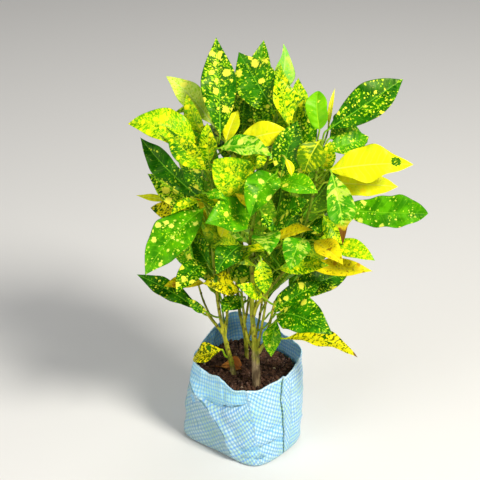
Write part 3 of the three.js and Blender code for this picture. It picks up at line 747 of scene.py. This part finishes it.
def stem_look():
    """Green-brown bark, greener above, woody at the foot, most of all on the thick stem in front."""
    look = Look("stem", Roughness=0.6, Specular_IOR_Level=0.25)
    place = look.place()
    _, y, z = look.parts(place)
    height = z / MM
    streaks = look.noise(place * (1, 1, 0.25), 0.0035, 4.0)
    look.ground = look.mix(look.step(look.noise(place, 0.012), 0.35, 0.65), (0.1, 0.13, 0.004),
                           (0.26, 0.29, 0.009))
    wood = look.mix(look.step(streaks, 0.35, 0.65), (0.1, 0.065, 0.03), (0.34, 0.25, 0.13))
    wood_end = look.step(y, -0.03, -0.034) * 32 + 92
    above = height + (look.noise(place, 0.01) - 0.5) * 50 - wood_end
    look.paint((look.step(streaks, 0.42, 0.66), (0.44, 0.42, 0.02)),
               (look.step(height, 175, 300), (0.2, 0.33, 0.008)),
               (look.step(above, 12, -12), wood),
               (look.step(look.attribute("scar", "Fac"), 0.3, 0.75) * 0.75, (0.07, 0.022, 0.008)))
    look.bump(streaks + look.noise(place, 0.0015), 0.0007, 0.7)
    return look.material


bark = stem_look()
for node, courses in PLANTS.items():
    stem_object(node, courses, bark)

# ---- Leaves ----

# Shares of its length at which a CAD blade has its rings, and shares of the half width across a visible one.
STATIONS = np.array([0, 0.09, 0.22, 0.36, 0.5, 0.64, 0.77, 0.88, 0.95])
ACROSS = np.array([-1, -0.955, -0.8, -0.58, -0.34, -0.13, 0, 0.13, 0.34, 0.58, 0.8, 0.955, 1])
BASE_RING, MIDDLE_RING = 3, 7  # of a CAD leaf, counted from the stalk's foot
MIDDLE, ENDS = np.array([0.0]), np.array([0.0, 1.0])
CURL_START = 0.6  # share of the blade's length from which the tip bends down
ARC_OVER_CHORD = 1.04
BLADE_HALF = 0.26  # half of the blade's thickness
STALK = 20.0  # the pattern's length on a stalk
STALK_IN_BARK = 2.2
RIB_END = 0.94  # share of the blade's length at which the midrib ends
ROD_SIDES = 8


def blade_share(t, widest, blunt=1.05):
    """The blade's half width as a share of its greatest, from the stalk at 0 to the tip at 1."""
    power = math.log(0.5) / math.log(widest)
    return np.maximum(0, np.sin(math.pi * np.asarray(t, float) ** power)) ** blunt


def rings_of(node):
    """A CAD leaf's points as (start, rings of 4 points in order round the leaf, end)."""
    mesh = frame["nodes"][node].data
    co = np.array([v.co for v in mesh.vertices]) / MM
    points, to = np.unique(np.round(co, 2), axis=0, return_inverse=True)
    to = to.ravel()
    near = {i: set() for i in range(len(points))}
    for edge in mesh.edges:
        a, b = (int(to[i]) for i in edge.vertices)
        if a != b:
            near[a].add(b)
            near[b].add(a)
    poles = [i for i in near if len(near[i]) == 4]
    front, seen, rings = [poles[0]], {poles[0]}, []
    while front and len(seen) < len(points):
        front = sorted({j for i in front for j in near[i]} - seen)
        seen |= set(front)
        if len(front) == 4:
            first = front[0]
            opposite = next(j for j in front[1:] if j not in near[first])
            others = [j for j in front[1:] if j != opposite]
            rings.append(points[[first, others[0], opposite, others[1]]])
    return points[poles[0]], rings, points[poles[1]]


def read_leaf(node):
    """The shape of a CAD leaf, read from its mesh."""
    start, rings, end = rings_of(node)

    def reach(ring):
        return np.linalg.norm(ring[2] - ring[0]) + np.linalg.norm(ring[3] - ring[1])

    if reach(rings[1]) > reach(rings[-2]):
        start, rings, end = end, rings[::-1], start
    centres, halves = [], []
    for i, ring in enumerate(rings):
        if np.linalg.norm(ring[2] - ring[0]) < np.linalg.norm(ring[3] - ring[1]):
            ring = ring[[1, 2, 3, 0]]
        thin = (ring[1] + ring[3]) / 2
        centres.append(thin if i > BASE_RING else ring.mean(axis=0))
        halves.append(np.linalg.norm(ring[2] - ring[0]) / 2)
        if i == MIDDLE_RING:
            facing = unit((ring[0] + ring[2]) / 2 - thin)
    base, middle = centres[BASE_RING], centres[MIDDLE_RING]
    widths = np.array(halves[BASE_RING + 1:])
    fits = []
    for widest in np.linspace(0.4, 0.66, 53):
        outline = blade_share(STATIONS[1:], widest)
        scale = widths @ outline / (outline @ outline)
        fits.append((((widths - scale * outline) ** 2).sum(), scale, widest))
    _, half, widest = min(fits)
    shares = np.array([0.3, 0.65])
    middle_terms = np.stack([3 * shares * (1 - shares) ** 2, 3 * shares**2 * (1 - shares)], 1)
    ends = np.outer((1 - shares) ** 3, start) + np.outer(shares**3, base)
    handles = np.linalg.solve(middle_terms, np.array(centres[1:3]) - ends)
    return Leaf(root=start, handles=handles, start=base, crest=2 * middle - (base + end) / 2, tip=end,
                facing=facing, half=half, widest=widest)


def direction(compass, rise):
    """0 is the front and 90 the right; rise is above the horizon. Both in degrees."""
    turn, lift = math.radians(compass), math.radians(rise)
    return np.array([math.sin(turn) * math.cos(lift), -math.cos(turn) * math.cos(lift), math.sin(lift)])


def ruled_leaf(on, at, base, tip, width, face, arch):
    """A leaf by the CAD's rule: stem, height on it, blade's base and tip, width, facing and arch."""
    centre, along, radius = stem_at(on, at)
    start, end = np.array(base, float), np.array(tip, float)
    chord = unit(end - start)
    facing = direction(*face)
    facing = unit(facing - (facing @ chord) * chord)
    outward = start - centre
    outward = unit(outward - (outward @ along) * along)
    root = centre + outward * radius
    reach = np.linalg.norm(root - start)
    handles = np.array([root + outward * reach * 0.22, start - chord * reach * 0.3])
    return Leaf(root=root, handles=handles, start=start, crest=(start + end) / 2 + facing * 2 * arch, tip=end,
                facing=facing, half=width / 2, widest=0.48)


def blade_surface(leaf, t, v):
    """The blade's middle surface and normals, as arrays of rows along it and points across it."""
    a, b = (1 - t)[:, None], t[:, None]
    centre = a * a * leaf.start + 2 * a * b * leaf.crest + b * b * leaf.tip
    along = unit(2 * a * (leaf.crest - leaf.start) + 2 * b * (leaf.tip - leaf.crest))
    normal = unit(leaf.facing - (along @ leaf.facing)[:, None] * along)
    side = np.cross(along, normal)
    turn = (leaf.twist * (2 * t - 1))[:, None]
    side, normal = side * np.cos(turn) + normal * np.sin(turn), normal * np.cos(turn) - side * np.sin(turn)
    centre = centre + side * (leaf.bow * 4 * t * (1 - t))[:, None]
    curled = np.clip((t - CURL_START) / (1 - CURL_START), 0, 1) ** 2
    centre = centre - normal * (leaf.curl * curled)[:, None]
    half = leaf.half * blade_share(t, leaf.widest, leaf.blunt) * (1 - leaf.pinch * smooth(t, 0.58, 0.76))
    phase = np.where(v < 0, leaf.phase, leaf.phase * 1.7 + 2)
    half = half[:, None] * (1 + leaf.uneven * np.sin(t[:, None] * np.where(v < 0, 8, 11) + phase))
    u = t * np.linalg.norm(leaf.tip - leaf.start) * ARC_OVER_CHORD
    across = half * v
    far = np.abs(v)
    lift = leaf.fold * half * far * (1.3 - 0.3 * far)
    wave = np.sin(u[:, None] / leaf.wavelength * 2 * math.pi + phase)
    lift = lift + leaf.ripple * (half / 18) * far**2.2 * wave
    quilt = np.sin((u[:, None] - VEIN_SLANT * np.abs(across)) / VEIN_GAP * 2 * math.pi) * 0.16
    lift = lift + quilt * np.clip(4 * far * (1 - far), 0, 1)
    points = centre[:, None] + side[:, None] * across[..., None] + normal[:, None] * lift[..., None]
    return points, normal, u, across


def stations(rows):
    """Shares of the blade's length, closer together near its ends."""
    s = np.linspace(0, 1, rows + 2)[1:-1]
    return s - 0.06 * np.sin(2 * math.pi * s)


def blade_rings(points, normal, v):
    """Rings round the blade: over its upper side and back under it."""
    thick = (BLADE_HALF * np.sqrt(1 - v**2))[:, None]
    bottom = points - normal[:, None] * thick
    return list(np.concatenate([points + normal[:, None] * thick, bottom[:, -2:0:-1]], axis=1))


def coarse(leaf):
    """The blade with few faces, to find out what it would cross or hide."""
    v = ACROSS[::3]
    points, normal, _, _ = blade_surface(leaf, stations(12), v)
    ends = blade_surface(leaf, ENDS, MIDDLE)[0]
    return loft(blade_rings(points, normal, v), *ends[:, 0])


def leaf_shape(leaf, rows=46):
    """The whole leaf: a thin closed blade, and one rod for the stalk and the midrib."""
    t, v = stations(rows), ACROSS
    points, normal, u, across = blade_surface(leaf, t, v)
    ends, _, end_u, _ = blade_surface(leaf, ENDS, MIDDLE)
    wide = np.concatenate([across, across[:, -2:0:-1]], axis=1)
    edge = np.concatenate([np.abs(v), np.abs(v)[-2:0:-1]])
    under = np.concatenate([np.zeros(len(v)), np.ones(len(v) - 2)])
    many, count = wide.shape
    blade = np.stack([np.repeat(u, count), wide.ravel(), np.repeat(t, count)], 1)
    place = np.stack([np.zeros(many * count), np.tile(under, many), np.tile(edge, many)], 1)
    blade = np.vstack([[0, 0, 0], blade, [end_u[1], 0, 1]])
    place = np.vstack([[0, 0, 0], place, [0, 0, 1]])
    skin = loft(blade_rings(points, normal, v), *ends[:, 0], blade=blade, place=place)

    q = np.linspace(0, 1, 9)[:-1, None]
    inward = unit(leaf.root - leaf.handles[0]) * STALK_IN_BARK
    stalk = ((1 - q) ** 3 * (leaf.root + inward) + 3 * q * (1 - q) ** 2 * leaf.handles[0]
             + 3 * q**2 * (1 - q) * leaf.handles[1] + q**3 * leaf.start)
    rib_t = np.linspace(0, RIB_END, 24)
    spine, spine_normal, spine_u, _ = blade_surface(leaf, rib_t, MIDDLE)
    sunk = smooth(rib_t, -0.05, 0.1)[:, None] * 0.42
    path = np.concatenate([stalk, spine[:, 0] - spine_normal * sunk])
    radii = np.concatenate([1.0 + 0.5 * (1 - q[:, 0]) ** 6, 0.95 - 0.72 * rib_t])
    shares = np.concatenate([np.zeros(len(stalk)), rib_t])
    distance = np.concatenate([np.linspace(-STALK, 0, len(stalk)), spine_u])
    blade = np.stack([distance, np.zeros(len(path)), shares], 1)
    blade = np.vstack([blade[0], np.repeat(blade, ROD_SIDES, axis=0), blade[-1]])
    rod = loft(*tube(path, radii, ROD_SIDES), blade=blade, place=np.tile([1.0, 0, 0], (len(blade), 1)))

    points, faces, attributes = together([skin, rod])
    blade, (at, aside, reach) = attributes["blade"], leaf.mark
    attributes["mark"] = bell(np.hypot((blade[:, 2] - at) * end_u[1], blade[:, 1] - aside), 0, reach)
    attributes["seed"] = np.tile(leaf.seed, (len(points), 1))
    attributes["tone"] = np.tile(leaf.tone, (len(points), 1))
    return points, faces, attributes


def dressed(leaf, name, yellower=0.0, lighter=0.1, dead=0.0, look=None, fold=None, curl=None, ripple=None,
            pinch=0.0, mark=(-9, 0, 1), wide=1.0, blunt=1.05, uneven=None):
    """Adds what differs from leaf to leaf: twist, waves, tone and the pattern's place. Seeded by name."""
    chance = random.Random(name)
    leaf.twist = math.radians(chance.uniform(-13, 13))
    leaf.bow = chance.uniform(-2.2, 2.2)
    leaf.curl = chance.uniform(0.5, 4) if curl is None else curl
    leaf.fold = chance.uniform(0.16, 0.34) if fold is None else fold
    leaf.phase = chance.uniform(0, 6.3)
    leaf.wavelength = chance.uniform(22, 34)
    leaf.ripple = chance.uniform(1.2, 3.0) if ripple is None else ripple
    leaf.uneven = chance.uniform(0.03, 0.08) if uneven is None else uneven
    leaf.pinch, leaf.mark, leaf.blunt, leaf.look = pinch, mark, blunt, look
    leaf.half *= wide
    leaf.seed = [chance.uniform(0, 900), chance.uniform(0, 900), 0]
    leaf.tone = [yellower + chance.uniform(-0.04, 0.04), lighter + chance.uniform(-0.05, 0.05), dead]
    return leaf


# What the photo shows of single leaves: how much yellower, how much lighter, and what else differs.
MANNERS = {
    "crown_tall": (0.07, 0.1, {}),
    "crown_rear": (0.06, 0.4, {}),
    "crown_front": (-0.05, 0.2, dict(fold=0.22)),
    "crown_narrow": (-0.1, -0.1, dict(look="pale")),
    "crown_speckled": (0, 0.1, dict(wide=1.12)),
    "middle_ribbed": (-0.12, 0.1, dict(fold=0.3, ripple=1.2)),
    "middle_dark": (0, 0.25, {}),
    "left_dark": (-0.42, -0.05, dict(wide=0.68, ripple=5, uneven=0.2)),
    "left_olive": (0, 0.2, dict(look="dark_speckled")),
    "left_far": (0.1, 0.5, dict(curl=4)),
    "left_rear": (0.2, 0.8, dict(ripple=2.6, look="pale")),
    "left_upright": (0, 0.4, dict(look="speckled")),
    "left_flecked": (-0.06, 0.1, dict(fold=0.3)),
    "left_yellowed": (0.42, 0, dict(look="gold_dust")),
    "front_large": (0.02, 0.3, dict(fold=0.12, look="spotted")),
    "front_bright": (-0.16, 0.25, dict(fold=0.3, ripple=2.6)),
    "front_folded": (-0.04, 0.25, dict(fold=0.38, ripple=2.6, look="spotted")),
    "front_pale_edge": (0.02, 0.6, {}),
    "front_speckled": (-0.06, 0.3, dict(fold=0.25, curl=1, ripple=2.4, blunt=0.75)),
    "centre_facing": (-0.1, -0.1, {}),
    "centre_marbled": (-0.2, -0.05, {}),
    "centre_speckled": (0.12, 0, dict(look="dark_speckled")),
    "centre_dark": (-0.2, 0.2, {}),
    "right_top": (-0.08, 0, dict(wide=0.9)),
    "right_green": (0, 0, dict(mark=(0.62, 4, 2.2))),
    "right_broad": (0, 0.3, dict(fold=0.14, look="spotted", blunt=0.75)),
    "right_young": (0, 0.1, dict(blunt=0.6)),
    "right_streaked": (0.2, 0, dict(fold=0.2, ripple=1.2, wide=1.12, look="streaked")),
    "right_hanging": (-0.15, 0, dict(dead=0.25, pinch=0.5, ripple=2.4)),
    "right_yellow": (0, 0.2, dict(ripple=3.5, uneven=0.09, mark=(0.8, -2, 6.5))),
    "right_pale": (0.1, 0.7, {}),
    "rim_leaf": (0.15, 0, dict(look="dark_speckled")),
    "low_right_dark": (-0.02, 0, {}),
    "low_right_front": (0, 0.2, {}),
    "low_right_gold": (-0.2, 0.3, dict(dead=0.05, look="dark_speckled")),
    "left_dark_low": (0.05, 0, {}),
    "low_left_dark": (-0.3, -0.05, dict(wide=0.82)),
}

standing = []  # a coarse shape of every leaf so far


def search_tree(shapes):
    """What finds out whether something crosses or hides these shapes."""
    points, faces, _ = together(shapes)
    return BVHTree.FromPolygons(points.tolist(), faces)


for part in frame["record"]["subparts"]:
    node, slot = part["node"], part["material_slot"]
    kind, _, rest = node.partition("_")
    if kind == "leaf":
        yellower, lighter, more = MANNERS.get(rest, (0, 0.1, {}))
        leaf = dressed(read_leaf(node), node, yellower, lighter, **more)
        look = LEAF_LOOKS[leaf.look or slot.removeprefix("leaf_")]
        show(node.replace("leaf", "blade"), leaf_shape(leaf), look, [node])
        standing.append(coarse(leaf))


def dry_leaf():
    """The dropped leaf, curled up where it lies on the soil."""
    low, high = (np.array(corner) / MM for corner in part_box("dry_leaf"))
    x, lie = low[0], low[2] + 1.2
    leaf = Leaf(root=np.array([x, -5, lie]), handles=np.array([[x + 1.5, -5.5, lie], [x + 3, -6, lie]]),
                start=np.array([x + 4, -6, lie + 0.3]), crest=np.array([-11, -9, lie + 7]),
                tip=np.array([high[0], -10, lie]), facing=unit([0.1, -0.35, 1]), half=9.0, widest=0.5)
    return dressed(leaf, "dry_leaf", 0, 0.2, fold=0.35, curl=2, ripple=5.5)


show("curled_dry_leaf", leaf_shape(dry_leaf()), LEAF_LOOKS["dry"], ["dry_leaf"])

# Leaves that the photo shows behind and between the larger ones: name, kind, stem, height on it, the
# blade's base and tip, its width, the way its upper side faces (compass angle, rise) and its arch.
MORE_LEAVES = [
    ("crown_right", "speckled", "right", 358, (53, 10, 363), (59, 38, 408), 22, (20, 15), 3),
    ("crown_between", "speckled", "right", 362, (36, 13, 376), (40, 20, 428), 24, (15, 20), 3),
    ("crown_low", "gold_dust", "back", 340, (1, 25, 357), (5, 17, 403), 26, (0, 15), 3),
    ("crown_low_right", "gold_dust", "right", 352, (25, 6, 361), (20, 11, 398), 20, (10, 15), 3),
    ("left_centre", "speckled", "left", 328, (-33, -21, 337), (-35, -16, 378), 19, (-15, 20), 3),
    ("left_spotted", "gold_dust", "left", 296, (-39, -24, 305), (-57, -22, 350), 20, (-25, 20), 3),
    ("left_thin", "yellow", "left", 262, (-71, 30, 274), (-112, 20, 284), 8, (-10, 40), 2),
    ("left_hanging", "speckled", "left", 288, (-43, -30, 298), (-72, -50, 292), 13, (-20, 50), 3),
    ("front_arched", "bright_green", "left", 300, (-36, -54, 317), (-14, -68, 318), 12, (-10, 50), 4),
    ("front_amber", "old_gold", "right", 282, (13, -43, 301), (-6, -54, 317), 10, (-10, 30), 2),
    ("middle_olive", "speckled", "right", 346, (20, -46, 356), (15, -55, 346), 10, (0, 25), 3),
    ("middle_hooked", "yellow", "right", 330, (44, -36, 347), (50, -45, 331), 8, (10, 30), 3),
    ("front_small", "gold_dust", "right", 284, (21, -50, 293), (32, -65, 280), 12, (10, 40), 2),
    ("right_spike", "yellow", "right_long", 348, (90, 20, 359), (97, 40, 396), 5, (0, 10), 1),
    ("low_inner", "gold_dust", "right_inner", 176, (-3, -35, 190), (-22, -49, 180), 18, (-10, 50), 3),
    ("low_centre", "speckled", "right_outer", 184, (22, -50, 198), (-4, -64, 220), 17, (0, 45), 3),
    ("low_rear", "gold_dust", "back", 150, (2, 4, 170), (-20, -6, 160), 18, (-10, 40), 3),
    ("low_middle", "gold_dust", "back_thin", 186, (14, -4, 207), (-12, -8, 197), 22, (0, 45), 3),
    ("low_left_inner", "gold_dust", "left", 160, (-37, -30, 170), (-58, -38, 192), 10, (-20, 40), 2),
    ("right_flecked", "speckled", "right_long", 268, (84, -30, 282), (106, -45, 256), 22, (0, 30), 3),
    ("right_olive", "speckled", "right_long", 318, (84, -14, 326), (90, -22, 360), 22, (0, 20), 3),
    ("right_green_low", "bright_green", "right_long", 332, (88, -4, 344), (132, 14, 352), 27, (0, 40), 4),
    ("low_right_inner", "gold_dust", "right_thin", 164, (30, -34, 171), (86, -22, 203), 26, (-10, 45), 4),
    ("low_right_olive", "speckled", "right_thin", 212, (38, -44, 228), (90, -54, 238), 20, (0, 45), 4),
    ("left_thin_tip", "speckled", "left_thin", 202, (-22, -30, 217), (-36, 2, 244), 20, (150, 30), 4),
    ("left_shoot_tip", "bright_green", "left_shoot", 196, (-50, -12, 210), (-72, 20, 244), 22, (-30, 40), 4),
    ("back_thin_tip", "gold_dust", "back_thin", 228, (29, 10, 244), (44, 40, 296), 26, (150, 30), 5),
    ("right_inside_tip", "gold_dust", "right_inside", 228, (36, -12, 242), (60, -4, 290), 28, (0, 30), 4),
    ("rear_low_left", "gold_dust", "left_twig", 240, (-30, 14, 250), (-86, 56, 244), 30, (-150, 60), 6),
    ("rear_lowest", "bright_green", "back", 190, (-16, 30, 198), (-52, 88, 190), 34, (200, 60), 6),
]

# The crown's outline from the front, as (x, height) with the height raised for what lies further back.
OUTLINE = [(-94, 366), (-70, 396), (-45, 425), (50, 425), (59, 391), (90, 364), (100, 326), (112, 281),
           (112, 240), (100, 207), (84, 183), (60, 163), (50, 142), (-6, 142), (-29, 163), (-58, 180),
           (-82, 214), (-94, 258), (-85, 292), (-95, 320)]
SLOPE = 0.466  # of the camera's view downwards
CROWN_MIDDLE, CROWN_REACH = np.array([8, 12, 290]), np.array([88, 78, 118])
# Ways to look at the crown; the first, from the front and above, is the photo's.
SIGHTS = [direction(180, -25), direction(0, -15), direction(90, -15), direction(270, -15), direction(45, -20),
          direction(315, -20)]
KINDS = ["gold_dust"] * 7 + ["bright_green"] * 4 + ["speckled"] * 5 + ["yellow", "old_gold", "marbled"]
NEAREST, FARTHEST = 34, 95  # mm from a stem to the middle of its filling leaf
STEEPEST_DOWN, STEEPEST_UP = -0.5, 0.88  # of the way from there to here, as its rise
LEAST_FACING = 0.42  # towards the camera, so that no leaf is seen from its edge
MOST_IN_FRONT = 0.12  # share of a filling leaf that may lie in front of another
BARE_FRONT, BARE_BELOW = -30, 225  # the photo shows bare stems in front of this y and below this height


def inside_outline(points):
    x, h = points[:, 0], points[:, 2] + SLOPE * points[:, 1]
    inside = np.zeros(len(x), bool)
    for (ax, ah), (bx, bh) in zip(OUTLINE, OUTLINE[1:] + OUTLINE[:1]):
        if ah != bh:
            inside ^= ((ah > h) != (bh > h)) & (x < ax + (h - ah) * (bx - ax) / (bh - ah))
    return inside.all()


gathered = {}


def keep(leaf, kind):
    """Adds a leaf to those of its kind, which become one piece."""
    gathered.setdefault(kind, []).append(leaf_shape(leaf, rows=34))
    standing.append(coarse(leaf))


for name, kind, *rule in MORE_LEAVES:
    keep(dressed(ruled_leaf(*rule), name), kind)


def coarse_stem(name):
    """The stem as a plain tube, from above the soil to a little under its end."""
    course, thickness = STEMS[name]
    shares = np.linspace(0.1, 0.97, 40)
    return loft(*tube(spline(course, shares), np.interp(shares, *zip(*thickness)), 6))


def hit(point, way, shapes, reach=1e4):
    """Whether one of the shapes is there, from the point that way."""
    return shapes.ray_cast(point, way, reach)[0] is not None


def filler(middle, name, chance):
    """A leaf round that middle that grows from a stem, or None if no stem is near enough."""
    stem = chance.choice(list(STEMS))
    course = STEMS[stem][0]
    at = chance.uniform(max(145, course[0][2] + 10), course[-1][2] - 2)
    centre = stem_at(stem, at)[0]
    away = np.linalg.norm(middle - centre)
    outward = (middle - centre) / away
    if not NEAREST < away < FARTHEST or not STEEPEST_DOWN < outward[2] < STEEPEST_UP:
        return None
    length = min(2 * (away - 10), chance.uniform(60, 98))
    base, tip = middle - outward * length / 2, middle + outward * length / 2
    compass = math.degrees(math.atan2(outward[0], -outward[1]))
    rise = math.degrees(math.asin(outward[2]))
    face = (compass + chance.uniform(-45, 45), min(85, 75 - rise * 0.8))
    leaf = ruled_leaf(stem, at, base, tip, length * chance.uniform(0.32, 0.46), face, chance.uniform(2, 9))
    return dressed(leaf, name, chance.uniform(-0.1, 0.1), chance.uniform(-0.1, 0.4))


def fits(leaf, crowd, shown):
    """Whether a filling leaf stays in the crown, crosses nothing and hides nothing that the photo shows."""
    rough, faces, _ = coarse(leaf)
    low, high = (np.array(corner) / MM for corner in cad_box)
    if (rough < low + 1).any() or (rough > high - 1).any() or not inside_outline(rough):
        return False
    if rough[:, 1].min() < BARE_FRONT and rough[:, 2].min() < BARE_BELOW:
        return False
    if np.mean([hit(point, SIGHTS[0], shown) for point in rough[::5]]) > MOST_IN_FRONT:
        return False
    return not BVHTree.FromPolygons(rough.tolist(), faces).overlap(crowd)


def fill(count, tries, reach, shown):
    """More leaves wherever nothing is within reach of a place in the crown, none in front of those shown."""
    chance = random.Random(count)
    stems = [coarse_stem(name) for name in STEMS]
    placed, crowd = 0, search_tree(standing + stems)
    for trial in range(tries):
        if placed == count:
            break
        middle = CROWN_MIDDLE + CROWN_REACH * [chance.uniform(-1, 1) for _ in range(3)]
        sight = chance.choice([SIGHTS[0]] * 4 + SIGHTS[1:])
        if (((middle - CROWN_MIDDLE) / CROWN_REACH) ** 2).sum() > 1:
            continue
        if hit(middle, sight, crowd, reach) or hit(middle, -sight, crowd, reach):
            continue
        for again in range(12):
            leaf = filler(middle, f"filler{count}.{trial}.{again}", chance)
            if leaf and abs(leaf.facing @ SIGHTS[0]) >= LEAST_FACING and fits(leaf, crowd, shown):
                keep(leaf, chance.choice(KINDS))
                placed, crowd = placed + 1, search_tree(standing + stems)
                break


shown = search_tree(standing)
fill(90, 14000, 1e4, shown)
fill(60, 3000, 30, shown)
for kind, shapes in gathered.items():
    show("inner_leaves_" + kind, together(shapes), LEAF_LOOKS[kind])

# ---- Stage ----


def stage():
    """A floor, three lamps, a pale sky and the camera at the photo's place."""
    bpy.ops.mesh.primitive_plane_add(size=30, location=(0, 8, 0))
    floor = bpy.context.object
    floor.name = "studio_floor"
    floor.data.materials.append(Look("studio_floor", Roughness=0.85, Base_Color=(0.8, 0.79, 0.77)).material)

    scene = bpy.context.scene
    for name, location, size, power, colour in (("key", (1.3, -1.3, 1.9), 0.8, 73, (1, 0.97, 0.9)),
                                                ("fill", (-1.6, -1.4, 1.0), 1.6, 18, (0.98, 0.99, 1)),
                                                ("back", (0.3, 1.2, 2.6), 1.2, 13, (1, 1, 1))):
        light = bpy.data.lights.new(name, "AREA")
        light.shape, light.size, light.energy, light.color = "DISK", size, power, colour
        lamp = bpy.data.objects.new(name, light)
        lamp.location = location
        lamp.rotation_euler = (Vector((0, 0, 0.24)) - Vector(location)).to_track_quat("-Z", "Y").to_euler()
        scene.collection.objects.link(lamp)

    world = bpy.data.worlds.new("studio")
    world.use_nodes = True
    background = world.node_tree.nodes["Background"].inputs
    background["Color"].default_value = (1, 1, 1, 1)
    background["Strength"].default_value = 0.22
    scene.world = world
    world.cycles_visibility.glossy = False
    scene.view_settings.view_transform = "Standard"

    lens = bpy.data.cameras.new("camera")
    lens.lens, lens.sensor_width = 99.8, 36
    scene.camera = bpy.data.objects.new("camera", lens)
    scene.camera.location = (-0.0017, -1.27883, 0.83667)
    scene.camera.rotation_euler = (math.radians(65), 0, 0)
    scene.collection.objects.link(scene.camera)


stage()
